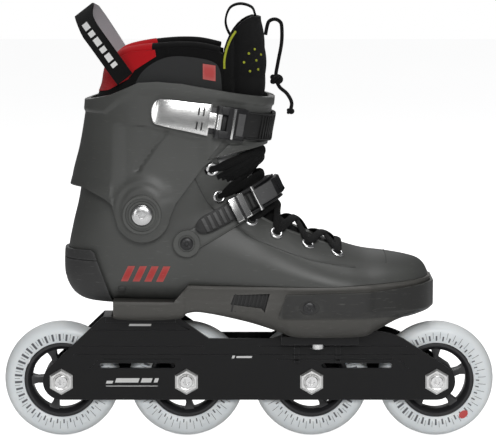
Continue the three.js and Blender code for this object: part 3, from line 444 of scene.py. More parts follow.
def build_grain():
    """Moulded plastic: a fine grain, slow mottling, scattered fine scuffs and a painted highlight on sharp
    edges.
    """
    tree, given, out = effect(
        "moulded_grain",
        [("Plastic", "c", (0.1, 0.1, 0.1)), ("Scuff and highlight colour", "c", (0.2, 0.2, 0.2)), ("Gloss", "f", 0.45),
         ("Grain per metre", "f", 1500), ("Grain depth", "f", 0.12), ("Scuff and highlight amount", "f", 0.5)],
        [("Color", "c"), ("Normal", "v"), ("Roughness", "f")],
    )
    place = node(tree, "TexCoord").outputs["Object"]
    grain = node(tree, "TexNoise", {"Vector": place, "Scale": given["Grain per metre"], "Detail": 2.0})
    mottle = node(tree, "TexNoise", {"Vector": place, "Scale": 26.0, "Detail": 5.0})
    stretched = node(tree, "Mapping", {"Vector": place, "Scale": (60.0, 60.0, 420.0)})
    scuffs = node(tree, "TexNoise", {"Vector": stretched.outputs["Vector"], "Scale": 2.2, "Detail": 8.0})
    # Convex edges, found by pointiness, take the lighter colour as a painted highlight. The stretched noise
    # gives real scuffs.
    edge = node(tree, "NewGeometry").outputs["Pointiness"]
    rim = node(tree, "MapRange", {"Value": edge, "From Min": 0.515, "From Max": 0.6}).outputs["Result"]
    marks = node(
        tree, "MapRange", {"Value": scuffs.outputs["Fac"], "From Min": 0.62, "From Max": 0.74}
    ).outputs["Result"]
    scuffs_and_edge_highlight = maths(tree, "MULTIPLY", maths(tree, "MAXIMUM", rim, marks), given["Scuff and highlight amount"])
    dull = node(tree, "MapRange", {"Value": mottle.outputs["Fac"], "To Min": 0.86, "To Max": 1.12})
    shade = node(tree, "Mix", {"Factor": 1.0, "A": given["Plastic"], "B": dull.outputs["Result"]},
                 data_type="RGBA", blend_type="MULTIPLY").outputs["Result"]
    tree.links.new(colour_mix(tree, scuffs_and_edge_highlight, shade, given["Scuff and highlight colour"]), out["Color"])
    rough = maths(tree, "ADD", given["Gloss"], maths(tree, "MULTIPLY", mottle.outputs["Fac"], 0.12))
    tree.links.new(rough, out["Roughness"])
    bump = node(
        tree, "Bump",
        {"Height": grain.outputs["Fac"], "Strength": given["Grain depth"], "Distance": 0.0003},
    )
    tree.links.new(bump.outputs["Normal"], out["Normal"])
    return tree


moulded_grain = build_grain()
GRAINS = 1500.0


def plastic(name, colour, scuff_highlight_colour, gloss, grain_depth=0.12, scuff_highlight_amount=0.5):
    """Moulded plastic."""
    # The lighter colour goes on real scuffs, and on sharp edges as a painted highlight.
    values = {"Plastic": colour, "Scuff and highlight colour": scuff_highlight_colour, "Gloss": gloss, "Grain per metre": GRAINS,
              "Grain depth": grain_depth, "Scuff and highlight amount": scuff_highlight_amount}
    made, _ = finished(name, colour, gloss, moulded_grain, values)
    return made


def build_metal():
    """Handled metal: fine turning lines, faint smears and a painted highlight on sharp edges."""
    tree, given, out = effect(
        "handled_metal",
        [("Metal", "c", (0.7, 0.7, 0.7)), ("Edge highlight", "c", (0.9, 0.9, 0.9)), ("Polish", "f", 0.25),
         ("Smears", "f", 0.15), ("Line depth", "f", 0.1)],
        [("Color", "c"), ("Normal", "v"), ("Roughness", "f")],
    )
    place = node(tree, "TexCoord").outputs["Object"]
    smear = node(tree, "TexNoise", {"Vector": place, "Scale": 70.0, "Detail": 6.0}).outputs["Fac"]
    squeezed = node(tree, "Mapping", {"Vector": place, "Scale": (120.0, 120.0, 2600.0)})
    lines = node(tree, "TexNoise", {"Vector": squeezed.outputs["Vector"], "Scale": 1.0, "Detail": 3.0})
    # Sharp edges, found by pointiness, take the lighter second colour: a painted highlight.
    edge = node(tree, "NewGeometry").outputs["Pointiness"]
    rim = node(tree, "MapRange", {"Value": edge, "From Min": 0.51, "From Max": 0.58}).outputs["Result"]
    tree.links.new(colour_mix(tree, rim, given["Metal"], given["Edge highlight"]), out["Color"])
    spread = maths(tree, "MULTIPLY", smear, given["Smears"])
    tree.links.new(maths(tree, "ADD", given["Polish"], spread), out["Roughness"])
    bump = node(
        tree, "Bump",
        {"Height": lines.outputs["Fac"], "Strength": given["Line depth"], "Distance": 0.0002},
    )
    tree.links.new(bump.outputs["Normal"], out["Normal"])
    return tree


handled_metal = build_metal()


def metal(name, colour, edge, polish, smears=0.15, lines=0.1, metallic=1.0, specular=0.5):
    """Turned, brushed or anodised metal."""
    # The second colour is a painted highlight along sharp edges.
    values = {"Metal": colour, "Edge highlight": edge, "Polish": polish, "Smears": smears, "Line depth": lines}
    made, shader = finished(name, colour, polish, handled_metal, values, metallic)
    shader.inputs["Specular IOR Level"].default_value = specular
    return made


def milky_urethane():
    """Clear-white urethane: a soft inner glow, dust from the road and a duller rolling face."""
    made, tree, shader = plain_material("milky_urethane", (0.72, 0.75, 0.76), 0.32)
    shader.inputs["Subsurface Weight"].default_value = 0.35
    shader.inputs["Subsurface Radius"].default_value = (0.006, 0.0065, 0.007)
    place = node(tree, "TexCoord").outputs["Object"]
    parts = node(tree, "SeparateXYZ", {"Vector": place})
    flat = node(tree, "CombineXYZ", {"X": parts.outputs["X"], "Y": parts.outputs["Z"]})
    reach = node(tree, "VectorMath", {0: flat.outputs["Vector"]}, operation="LENGTH").outputs["Value"]
    swirl = node(tree, "TexNoise", {"Vector": place, "Scale": 55.0, "Detail": 4.0}).outputs["Fac"]
    milk = colour_mix(tree, swirl, (0.74, 0.78, 0.80, 1), (0.88, 0.91, 0.92, 1))
    tread = node(
        tree, "MapRange", {"Value": reach, "From Min": 0.0405, "From Max": 0.0445, "To Max": 0.45}
    ).outputs["Result"]
    tree.links.new(colour_mix(tree, tread, milk, (0.70, 0.71, 0.70, 1)), shader.inputs["Base Color"])
    rough = node(tree, "MapRange", {"Value": swirl, "To Min": 0.26, "To Max": 0.46}).outputs["Result"]
    tree.links.new(maths(tree, "ADD", rough, maths(tree, "MULTIPLY", tread, 0.5)),
                   shader.inputs["Roughness"])
    bump = node(tree, "Bump", {"Height": swirl, "Strength": 0.08, "Distance": 0.0005})
    tree.links.new(bump.outputs["Normal"], shader.inputs["Normal"])
    return made


urethane = milky_urethane()
core_black = plastic("core_black", (0.018, 0.018, 0.02), (0.06, 0.06, 0.06), 0.32, 0.1, 0.35)
tick_ink = plastic("tick_ink", (0.10, 0.105, 0.12), (0.2, 0.2, 0.2), 0.45, 0.05, 0.2)
dot_ink = plastic("dot_red", (0.55, 0.035, 0.03), (0.6, 0.2, 0.2), 0.4, 0.05, 0.2)
steel = metal("brushed_steel", (0.62, 0.61, 0.59), (0.85, 0.85, 0.84), 0.24, 0.2, 0.12)
bright_steel = metal("bright_steel", (0.66, 0.66, 0.66), (0.85, 0.85, 0.85), 0.20, 0.12, 0.04)


TYRE_INNER, SHOULDER = CORE_RADIUS + 0.3, 7
INK_LIFT = 0.12
DOT_TURN, DOT_RADIUS, DOT_SLICE = -1.02, 34.4, 0.022


def tyre_side(radius):
    """Half width of the tyre at a radius: a shoulder by the core and a round crown."""
    if radius < TYRE_INNER + SHOULDER:
        rise = math.sin((radius - TYRE_INNER) / SHOULDER * math.pi / 2)
        return CORE_HALF + (TYRE_HALF - CORE_HALF) * rise
    t = (radius - TYRE_INNER - SHOULDER) / (WHEEL_RADIUS - TYRE_INNER - SHOULDER)
    return TYRE_HALF * math.sqrt(max(0.0, 1 - t**2.6))


def tyre():
    radii = [TYRE_INNER, 30.2, 31.5, 33, 34.8, 36.5, 38.5, 40.3, 41.8, 43, 43.9, 44.5, 44.85]
    side = [(r, tyre_side(r)) for r in radii]
    profile = side + [(WHEEL_RADIUS, 1.2), (WHEEL_RADIUS, -1.2)]
    profile += [(r, -y) for r, y in reversed(side)]
    return turned(profile, 128)


def spoke(turn):
    """A spoke of the core: a web that is thin in the middle and flares into the rim."""
    outline = [(10, -3.4), (15, -2.4), (19, -2.2), (23, -3.4), (25.5, -6.5), (27, -7.2),
               (27, 7.2), (25.5, 6.5), (23, 3.4), (19, 2.2), (15, 2.4), (10, 3.4)]
    c, s = math.cos(turn), math.sin(turn)
    return prism([(x * c - z * s, x * s + z * c) for x, z in outline], -6.5, 6.5)


def core():
    rim = [(23.6, -6), (25.2, -9), (26.6, -10), (28.6, -10), (29, -9.4), (29, 9.4), (28.6, 10),
           (26.6, 10), (25.2, 9), (23.6, 6)]
    hub = [(11.3, -12), (12.2, -12), (14.2, -10.6), (14.5, -7), (14.5, 7), (14.2, 10.6),
           (12.2, 12), (11.3, 12)]
    made = solid("core", *turned(rim, 80))
    made = machined(made, "UNION", solid("hub", *turned(hub, 64)),
                    *[solid("spoke", *spoke(2 * math.pi * (i + 0.25) / SPOKES)) for i in range(SPOKES)])
    return round_edges(made, 0.45, 2, 50)


def print_on_tyre(turn0, turn1, r0, r1, side):
    """A thin print that lies on the side of the tyre."""
    verts, rows, cols = [], 8, 3
    for k in range(rows):
        r = r0 + (r1 - r0) * k / (rows - 1)
        for c in range(cols):
            turn = turn0 + (turn1 - turn0) * c / (cols - 1)
            verts.append((r * math.cos(turn), side * (tyre_side(r) + INK_LIFT), r * math.sin(turn)))
    faces = [
        [k * cols + c, k * cols + c + 1, (k + 1) * cols + c + 1, (k + 1) * cols + c]
        for k in range(rows - 1) for c in range(cols - 1)
    ]
    return verts, faces


def together(shapes):
    """Several (corners, faces) as one."""
    verts, faces, start = [], [], 0
    for v, f in shapes:
        verts.extend(np.asarray(v, float).tolist())
        faces.extend([[i + start for i in face] for face in f])
        start += len(v)
    return verts, faces


def ticks():
    """Printed bars round the inside of the tyre. They taper off into hair lines."""
    shapes = []
    for side in (-1, 1):
        for i in range(TICKS):
            turn = 2 * math.pi * i / TICKS
            share = 0.5 + 0.5 * math.cos(turn - 3.3)
            half = 0.013 + 0.012 * share
            shapes.append(print_on_tyre(turn - half, turn + half, 31.0, 33.4 + 3.6 * share, side))
            hair_end = 36.4 + 2.2 * (1 - share)
            shapes.append(print_on_tyre(turn + 0.07, turn + 0.078, 32.5, hair_end, side))
    return together(shapes)


def red_dot():
    """A round print on the outer side of the tyre, made of narrow slices."""
    shapes = []
    for k in range(11):
        turn = DOT_TURN + DOT_SLICE * k
        half = math.sqrt(max(0.3, 7.0 - (k - 5) ** 2 * 0.27))
        shapes.append(print_on_tyre(turn, turn + DOT_SLICE, DOT_RADIUS - half, DOT_RADIUS + half, -1))
    return together(shapes)


def thickened(obj, thickness):
    """Gives a thin print its thickness, half to each side."""
    skin = obj.modifiers.new("thickness", "SOLIDIFY")
    skin.thickness, skin.offset = thickness * MM, 0
    return settle(obj)


def copied(obj, name, x, z):
    """Another piece with the same mesh, at an axle."""
    twin = bpy.data.objects.new(name, obj.data)
    scene.collection.objects.link(twin)
    twin.location = (x * MM, 0, z * MM)
    return twin


bearing_ring = [(6.3, -3.5), (6.3, 3.5), (8.2, 3.5), (8.5, 3.1), (10.2, 3.1), (10.4, 3.5),
                (11, 3.2), (11, -3.2), (10.4, -3.5), (10.2, -3.1), (8.5, -3.1), (8.2, -3.5)]
spacer_ring = [(4.05, -12.15), (6.0, -12.15), (6.0, -8.4), (5.2, -8), (5.2, 8), (6.0, 8.4),
               (6.0, 12.15), (4.05, 12.15)]
first_tyre = solid("tyre", *tyre())
first_core = core()
first_ticks = thickened(solid("ticks", *ticks()), 0.16)
first_dot = thickened(solid("dot", *red_dot()), 0.3)
first_bearing = solid("bearing", *together([moved(turned(bearing_ring, 48), y=y) for y in (-8.5, 8.5)]))
first_spacer = solid("spacer", *turned(spacer_ring, 40))

for number, x in enumerate(AXLE_X, 1):
    body = f"wheel_{number}"
    wheel = [
        (first_tyre, "tyre", urethane, "urethane", [f"tyre_{number}"]),
        (first_core, "core", core_black, "core_plastic", [f"wheel_core_{number}"]),
        (first_ticks, "tyre_ticks", tick_ink, "urethane", []),
        (first_dot, "tyre_dot", dot_ink, "urethane", []),
        (first_bearing, "bearings", steel, "steel",
         [f"bearing_{number}_outer", f"bearing_{number}_inner"]),
    ]
    for source, name, finish, slot, nodes in wheel:
        if name == "tyre_dot" and number < WHEELS:
            continue
        part = copied(source, f"{name}_{number}_fine", x, WHEEL_RADIUS)
        part.data = source.data.copy()
        if number < WHEELS:
            part.data.transform(Matrix.Rotation(0.9 * number, 4, "Y"))
        fit(part, finish, body, nodes)
    part = copied(first_spacer, f"bearing_spacer_{number}_fine", x, WHEEL_RADIUS)
    fit(part, steel, "skate", [f"bearing_spacer_{number}"])
for source in (first_tyre, first_core, first_ticks, first_dot, first_bearing, first_spacer):
    bpy.data.objects.remove(source)

# ---- Axles ----
# At each axle a silver hexagon sits in the outer plate, point upwards, and the axle's round
# head lies in it with a six-lobed socket. Both are machined and bright.
PLATE_OUTSIDE = 17
INSERT_FACE = PLATE_OUTSIDE + 2.6
INSERT_CORNER = 17.6 / math.sqrt(3)


def lobed(radius, depth, count=6, steps=48):
    """Side view of a lobed socket."""
    turn = np.linspace(0, 2 * math.pi, steps, endpoint=False)
    reach = radius * (1 + depth * np.cos(count * turn))
    return list(zip(reach * np.cos(turn), reach * np.sin(turn)))


def hex_insert():
    """A hexagonal plate with a bored boss behind it and a raised ring round its hole."""
    face = -INSERT_FACE
    plate = [(5.3, -17.3), (INSERT_CORNER, -17.3), (INSERT_CORNER, face + 1.0),
             (INSERT_CORNER - 1.5, face), (5.3, face)]
    boss = [(4.1, -17.6), (4.1, -12.45), (7, -12.45), (7, -17.6)]
    return together([turned(plate, 6, math.pi / 6), turned(boss, 48),
                     turned([(5.1, -17.0), (5.1, face + 0.1), (6.1, face - 0.25), (6.7, face + 0.2),
                             (6.7, -17.0)], 48)])


def axle():
    """An axle rod with a round head on the outer side and a socket in that head."""
    head = -INSERT_FACE + 0.4
    rod = [(0.01, 18), (3.4, 18), (3.85, 17.5), (3.85, head), (4.9, head), (4.9, head - 1.0),
           (4.5, head - 1.4), (0.01, head - 1.4)]
    made = solid("axle", *turned(rod, 48))
    return machined(made, "DIFFERENCE", solid("socket", *prism(lobed(2.3, 0.13), head - 5, head - 0.1)))


first_insert = solid("insert", *hex_insert())
first_axle = axle()
for number, x in enumerate(AXLE_X, 1):
    part = copied(first_insert, f"hex_insert_{number}_fine", x, WHEEL_RADIUS)
    fit(part, steel, "skate", [f"hex_insert_{number}"], 20)
    part = copied(first_axle, f"axle_{number}_fine", x, WHEEL_RADIUS)
    fit(part, bright_steel, "skate", [f"axle_{number}"])
bpy.data.objects.remove(first_insert)
bpy.data.objects.remove(first_axle)

# ---- Frame ----
# Extruded aluminium in one piece: two plates with a channel between them, webs, a platform
# under the heel and two ears under the ball. It is anodised black, and its chamfers carry a
# painted highlight: a silver finish on the chamfer faces.
HEEL_X, BALL_X, BALL_BOLT_Y = -84, 53, 23.5
PLATE_INSIDE = 13.5
FRAME_WAIST, HEEL_TOP, BALL_TOP = 78.6, 95.5, 82.1
FRAME_END = 14.5
GROOVES = [(-113, -52, 61.8, 63), (22, 111, 61.8, 63), (-136, 129, 66, 66.5), (-130, -36, 72.4, 73),
           (8, 122, 72.4, 73), (-122, -46, 85.2, 85.8)]


def arc(cx, cz, radius, start, end, steps=14):
    """Side-view points along an arc."""
    turn = np.linspace(start, end, steps)
    return [(cx + radius * math.cos(t), cz + radius * math.sin(t)) for t in turn]


def bent(p0, p1, p2, steps=8):
    """A curve from p0 to p2 that leans towards p1."""
    t = np.linspace(0, 1, steps)[1:, None]
    p0, p1, p2 = np.array(p0, float), np.array(p1, float), np.array(p2, float)
    return [tuple(p) for p in (1 - t) ** 2 * p0 + 2 * t * (1 - t) * p1 + t * t * p2]


def plate_outline():
    """Side view of the frame's plates, from the rear axle's end forwards and back over the top."""
    rear, front = AXLE_X[0], AXLE_X[-1]
    outline = [(rear, WHEEL_RADIUS - FRAME_END)]
    outline += arc(front, WHEEL_RADIUS, FRAME_END, -math.pi / 2, math.pi * 0.22)
    outline += [(front - 26, FRAME_WAIST)]
    outline += bent(outline[-1], (front - 38, BALL_TOP + 2.6), (front - 52, BALL_TOP + 2.6))
    outline += [(front - 56, BALL_TOP), (BALL_X - 26, BALL_TOP), (BALL_X - 35, FRAME_WAIST),
                (HEEL_X + 53, FRAME_WAIST), (HEEL_X + 28.5, HEEL_TOP), (HEEL_X - 29.5, HEEL_TOP)]
    outline += arc(rear, WHEEL_RADIUS, FRAME_END, math.pi * 0.76, math.pi * 1.5)[:-1]
    return outline


def long_slot(x0, x1, z, half):
    """Side view of a slot with round ends."""
    return arc(x0 + half, z, half, math.pi / 2, 1.5 * math.pi, 8) + arc(
        x1 - half, z, half, -math.pi / 2, math.pi / 2, 8)


near_black, chamfer_highlight_silver = (0.005, 0.005, 0.0055), (0.22, 0.22, 0.225)
frame_black = metal("black_anodising", near_black, near_black, 0.28, 0.14, 0.04, 0.0, 0.28)
# A silver finish for the frame's chamfers: a painted highlight along its edges.
painted_chamfer_highlight = metal("painted_chamfer_highlight", chamfer_highlight_silver, chamfer_highlight_silver, 0.25, 0.14, 0.04, 0.8)


def anodised_frame():
    outline = plate_outline()
    made = solid("frame_fine", *prism(outline, PLATE_INSIDE, PLATE_OUTSIDE))
    added = [
        solid("plate", *prism(outline, -PLATE_OUTSIDE, -PLATE_INSIDE)),
        solid("platform", *block((HEEL_X - 29, HEEL_X + 28), (-15, 15), (HEEL_TOP - 3.6, HEEL_TOP))),
    ]
    for a, b in zip(AXLE_X, AXLE_X[1:]):
        middle = (a + b) / 2
        added.append(solid("web", *block((middle - 9, middle + 9), (-15, 15), (70.6, 74.6))))
    for side in (-1, 1):
        y = sorted((side * 14, side * 30))
        added.append(solid("ear", *block((BALL_X - 28, BALL_X + 31), y, (BALL_TOP - 6, BALL_TOP))))
        for dx in (-16, 16):
            gusset = [(BALL_X + dx - 1.8, 60), (BALL_X + dx + 1.8, 60),
                      (BALL_X + dx + 1.8, BALL_TOP - 3), (BALL_X + dx - 1.8, BALL_TOP - 3)]
            y = sorted((side * 16, side * 19.4))
            added.append(solid("gusset", *prism(gusset, *y)))
        y = sorted((side * 16.2, side * 17.7))
        flange = block((HEEL_X - 27, HEEL_X + 27), y, (HEEL_TOP - 4.2, HEEL_TOP - 0.4))
        added.append(solid("flange", *flange))
    made = machined(made, "UNION", *added)
    removed = []
    for side in (-1, 1):
        y = sorted((side * 16.1, side * 20))
        for x0, x1, z0, z1 in GROOVES:
            removed.append(solid("groove", *block((x0, x1), y, (z0, z1))))
        for foot, top in ((-124, -118), (123, 117)):
            tick = [(foot, 55), (foot + 0.9, 55), (top + 0.9, 61.5), (top, 61.5)]
            removed.append(solid("tick", *prism(tick, *y)))
    for x0, x1 in ((-116, -57), (56, 111)):
        removed.append(solid("slot", *prism(long_slot(x0, x1, 57.4, 2.0), -30, 30)))
    made = machined(made, "DIFFERENCE", *removed)
    made.data.materials.clear()
    made.data.materials.append(frame_black)
    made.data.materials.append(painted_chamfer_highlight)
    # The chamfers take slot 1, the silver painted highlight.
    return round_edges(made, 0.35, 1, 50, finish=1)


fit(anodised_frame(), frame_black, "skate", ["frame"], 8)
white_ink = plastic("white_ink", (0.75, 0.75, 0.74), (0.5, 0.5, 0.5), 0.5, 0.05, 0.3)
DASHES = [(-111, -106, 43.4, 45.6), (-104, -86, 44.2, 47.6), (-84, -76, 44.2, 47.6), (-74, -71, 44.2, 47.6),
          (-111, -71, 41.2, 41.7), (-13.5, -11.5, 63.2, 65.4), (-10, 2, 63.5, 65), (-93, -76, 88.6, 90.2)]
dashes = []
for x0, x1, z0, z1 in DASHES:
    slant = (z1 - z0) * 0.35
    dashes.append(prism([(x0, z0), (x1, z0), (x1 + slant, z1), (x0 + slant, z1)], -17.06, -16.9))
fit(solid("frame_marks", *together(dashes)), white_ink, "skate")

# ---- Mounting bolts ----
# Three socket-head bolts hold the frame: one upwards through the heel platform and one
# through each ear under the ball.
def socket_bolt(name, seat, tip, x, y):
    """An upright bolt with its head below the seat and its thread up to the tip."""
    head = seat - 0.3
    profile = [(0.01, tip), (2.6, tip), (3, tip - 0.6), (3, head), (5, head), (5, head - 3.4),
               (4.5, head - 4), (0.01, head - 4)]
    turn = np.linspace(0, 2 * math.pi, 40, endpoint=False)
    rings = [np.stack([x + r * np.cos(turn), y + r * np.sin(turn), np.full(40, z)], -1) for r, z in profile]
    made = solid(name, *lofted(rings))
    key = np.linspace(0, 2 * math.pi, 6, endpoint=False)
    hole = [np.stack([x + 2.6 * np.cos(key), y + 2.6 * np.sin(key), np.full(6, z)], -1)
            for z in (head - 6, head - 1.8)]
    return machined(made, "DIFFERENCE", solid("key", *lofted(hole)))


fit(socket_bolt("heel_mount_bolt_fine", HEEL_TOP - 3.6, HEEL_TOP + 9, HEEL_X, 0), bright_steel,
    "skate", ["heel_mount_bolt"])
for side, sign in (("outer", -1), ("inner", 1)):
    fit(socket_bolt(f"ball_mount_bolt_{side}_fine", BALL_TOP - 6, BALL_TOP + 11, BALL_X, sign * BALL_BOLT_Y),
        bright_steel, "skate", [f"ball_mount_bolt_{side}"])

# ---- Sole base ----
# The stiff moulded tray under the boot, browner than the shell. Its rim has a bead, its side
# a covered vent, and the frame's bolts hold it from below.
SHELL = np.array([
    [139.2, 124, 139.8, 106, 10, 2.2, 2.6, 6], [137.5, 132, 138, 101, 21, 2.2, 2.6, 5.6],
    [132, 138.2, 133, 98, 32, 2.2, 2.8, 5], [122, 141.6, 123, 95.5, 41, 2.2, 2.8, 4],
    [105, 144.8, 106, 94, 48, 2.1, 2.8, 2.4], [85, 148, 85, 93.5, 51.5, 1.9, 2.8, 0.8],
    [65, 154.5, 63, 93.5, 53, 1.8, 2.8, 0], [45, 163.5, 38, 94.5, 52.5, 1.8, 2.8, 0],
    [31, 172, 10, 98, 50.5, 1.85, 2.8, 0], [22, 180, -20, 102, 47.5, 1.9, 2.8, 0],
    [16, 188, -55, 106, 45, 2, 2.6, 0], [11.5, 197, -95, 107.5, 43, 2, 2.5, 0],
    [9, 205, -125, 111, 42, 2, 2.4, 0], [7.5, 212, -138, 124, 41.5, 2.1, 2.3, 0],
    [6.5, 219, -140, 145, 42.5, 2.2, 2.2, 0], [6, 226, -136.5, 166, 44, 2.3, 2.2, 0],
    [5, 234, -131.5, 187, 44.5, 2.4, 2.2, 0], [4, 243, -128.5, 207, 43.5, 2.4, 2.2, 0],
    [3, 253, -126.5, 228, 43, 2.4, 2.2, 0],
])
BASE = [
    (-108, 103.5, 25, 36.5, 0), (-101, 95.8, 29, 39, 0), (-56, 95.8, 29, 43, 0), (-47, 101, 31, 44.5, 0),
    (-33, 101.4, 31.5, 47, 0), (0, 94, 33, 51.4, 0), (24, 86.5, 34, 53.6, 0), (38, 82.4, 34, 54.4, 0),
    (84, 82.4, 33, 53.4, 0.8), (97, 87, 32, 51.2, 1.8), (113, 95, 29, 46.6, 3), (126, 98.5, 23, 39.4, 4.2),
    (134, 100.5, 15, 30.6, 5), (139.6, 103, 8, 18.5, 5.8),
]
SEAM = [(-104, 111), (-57.5, 111), (-46.5, 124.2), (61, 124), (150, 128)]
WALL = 3.5
BOOT_WIDE, OVERHEAD = 80, 420


def sections(rows, u):
    """The values of a boot surface's rows at u, eased between them."""
    last = len(rows) - 1
    i = np.clip(np.floor(u).astype(int), 0, last - 1)
    t = (u - i)[..., None]
    p0, p1, p2, p3 = (rows[np.clip(i + k, 0, last)] for k in (-1, 0, 1, 2))
    return (
        (2 * t**3 - 3 * t**2 + 1) * p1 + (t**3 - 2 * t**2 + t) * (p2 - p0) / 2
        + (3 * t**2 - 2 * t**3) * p2 + (t**3 - t**2) * (p3 - p1) / 2
    )


def on_boot(rows, u, turn, inset=0.0):
    """Points of a boot surface. A turn of 0 is its top and a quarter turn its inner side."""
    u, turn = np.broadcast_arrays(np.asarray(u, float), np.asarray(turn, float))
    tx, tz, bx, bz, half, top, low, shift = np.moveaxis(sections(rows, u), -1, 0)
    length = np.hypot(tx - bx, tz - bz) / 2
    c, s = np.cos(turn), np.sin(turn)
    power = 2 / np.where(c > 0, top, low)
    reach = np.sign(c) * np.abs(c) ** power * (1 - inset / length) / 2
    y = shift + np.sign(s) * np.abs(s) ** power * (half - inset)
    return np.stack([(tx + bx) / 2 + reach * (tx - bx), y, (tz + bz) / 2 + reach * (tz - bz)], -1)


def facing(rows, u, turn):
    """The way a boot surface faces."""
    step = 1e-3
    du = on_boot(rows, u + step, turn) - on_boot(rows, u - step, turn)
    dt = on_boot(rows, u, turn + step) - on_boot(rows, u, turn - step)
    out = np.cross(dt, du)
    return out / np.maximum(np.linalg.norm(out, axis=-1, keepdims=True), 1e-12)


def boot_skin(rows, inset, per=6, around=140, first=0.0, last=None, relief=None):
    """A closed skin of a boot surface. relief gives millimetres outwards from its points."""
    last = len(rows) - 1 if last is None else last
    u = np.linspace(first, last, int((last - first) * per) + 1)[:, None]
    turn = np.linspace(0, 2 * math.pi, around, endpoint=False)[None]
    points = on_boot(rows, u, turn, inset)
    if relief is not None:
        points = points + facing(rows, u, turn + 1e-4) * relief(points)[..., None]
    return lofted(points)


def find(rows, x, z, side):
    """Where on a boot surface (u, turn) a side view's x and z lie, on one side."""
    across_rows, round_side = np.linspace(0.02, len(rows) - 1.02, 200), np.linspace(0.03, math.pi - 0.03, 200)
    us, turns = np.meshgrid(across_rows, side * round_side, indexing="ij")
    grid = on_boot(rows, us, turns)
    places = []
    for a, b in zip(np.ravel(x), np.ravel(z)):
        k = np.argmin((grid[..., 0] - a) ** 2 + (grid[..., 2] - b) ** 2)
        u, turn = us.flat[k], turns.flat[k]
        for _ in range(4):
            p = on_boot(rows, u, turn)[[0, 2]]
            slope = np.stack([on_boot(rows, u + 1e-3, turn)[[0, 2]] - p,
                              on_boot(rows, u, turn + 1e-3)[[0, 2]] - p], 1) / 1e-3
            if abs(np.linalg.det(slope)) < 1e-6:
                break
            step = np.linalg.solve(slope, np.array([a, b]) - p)
            u, turn = u + np.clip(step[0], -0.1, 0.1), turn + np.clip(step[1], -0.04, 0.04)
        places.append((u, turn))
    places = np.array(places)
    return places[:, 0], places[:, 1]


def laid(rows, line, side, lift):
    """Side-view points laid on one side of a boot surface, with the way it faces there."""
    x, z = np.array(line, float).T
    u, turn = find(rows, x, z, side)
    out = facing(rows, u, turn)
    out *= np.sign(out[:, 1] * side)[:, None]
    return on_boot(rows, u, turn) + out * lift, out


def raised_line(rows, line, side, radius, lift):
    """A thin bead along a side-view line on a boot surface."""
    smooth = eased([(x, 0, z) for x, z in line])[:, [0, 2]]
    points, out = laid(rows, smooth, side, lift)
    return rope(points, (radius, radius), up=out, sides=8)


def patch(rows, quad, side, lift):
    """A thin sheet on a boot surface: quad holds four side-view corners in order."""
    high, cols = 5, 9
    a, b, c, d = (np.array(q, float) for q in quad)
    s, t = np.meshgrid(np.linspace(0, 1, cols), np.linspace(0, 1, high))
    s, t = s[..., None], t[..., None]
    flat = (1 - t) * ((1 - s) * a + s * b) + t * ((1 - s) * d + s * c)
    points, _ = laid(rows, flat.reshape(-1, 2), side, lift)
    faces = [
        [k * cols + i, k * cols + i + 1, (k + 1) * cols + i + 1, (k + 1) * cols + i]
        for k in range(high - 1) for i in range(cols - 1)
    ]
    return points, faces


def through(name, outline):
    """A cutter with a side-view outline that passes through the whole boot."""
    return solid(name, *prism(outline, -BOOT_WIDE, BOOT_WIDE))


def above(line):
    """A cutter for everything over a side-view line."""
    return through("above", [*line, (line[-1][0], OVERHEAD), (line[0][0], OVERHEAD)])


def kept_inside(obj, outline):
    """Trims a piece to a side-view outline."""
    return machined(obj, "INTERSECT", through("outline", outline))


def drill(radius, x, z, sides=32):
    """A cutter for a round hole across the boot."""
    hole = [(0.01, -BOOT_WIDE), (radius, -BOOT_WIDE), (radius, BOOT_WIDE), (0.01, BOOT_WIDE)]
    return solid("hole", *moved(turned(hole, sides), x, 0, z))


SEAM_LINE = [(-170, 98), (-104, 98), *SEAM]
SEAM_X, SEAM_Z = np.array(SEAM).T
GUARD = [(-160, 99), (-108.5, 101), (-104.5, 107), (-108.8, 121), (-118.8, 150.3), (-160, 148.5)]


def base_skin(outset, bead=0.0):
    """The tray's outside: a flat foot, a curved flank and upright sides with a bead on top."""
    rows = eased(BASE, 7)
    rings = []
    for x, low, flat, side, shift in rows:
        forward = outset * max(0.0, x - 96) / (139.6 - 96)
        knee = max(105.0, low + 4)
        t = np.linspace(0, 1, 10)[:, None]
        corner = np.array([flat + (side - flat) * 0.92, low + (knee - low) * 0.22])
        flank = (1 - t) ** 2 * [flat, low] + 2 * t * (1 - t) * corner + t**2 * [side + outset, knee]
        z = np.linspace(knee, 134, 30)[1:]
        rim = np.interp(x, SEAM_X, SEAM_Z)
        swell = bead * np.clip(1.6 - np.abs(z - rim + 1.8), 0, 1) + bead * 0.35 * (z < 112)
        half = np.vstack([flank, np.stack([side + outset + swell, z], -1)])
        ring = np.vstack([half, half[::-1] * [-1, 1]])
        rings.append(np.stack([np.full(len(ring), x + forward), ring[:, 0] + shift, ring[:, 1]], -1))
    return lofted(rings)


def sole_base():
    made = solid("sole_base_fine", *base_skin(0, 0.7))
    wheel_room = [(0.01, -15), (WHEEL_RADIUS + 2.5, -15), (WHEEL_RADIUS + 2.5, 15), (0.01, 15)]
    tools = [
        above(SEAM_LINE),
        through("guard_room", [(x + 0.4 * (x > -120), z) for x, z in GUARD]),
        solid("foot_room", *boot_skin(SHELL, WALL, 4, 90, first=1)),
        solid("wheel_room", *moved(turned(wheel_room, 64), AXLE_X[2], 0, WHEEL_RADIUS)),
    ]
    vent = [(-14.1, 110.4), (-11.4, 117.8), (15.9, 119.1), (11.9, 104.8), (9.2, 107.7)]
    for y in ((-60, -48.6), (48.6, 60)):
        tools.append(solid("vent", *prism(vent, *y)))
    return machined(made, "DIFFERENCE", *tools)


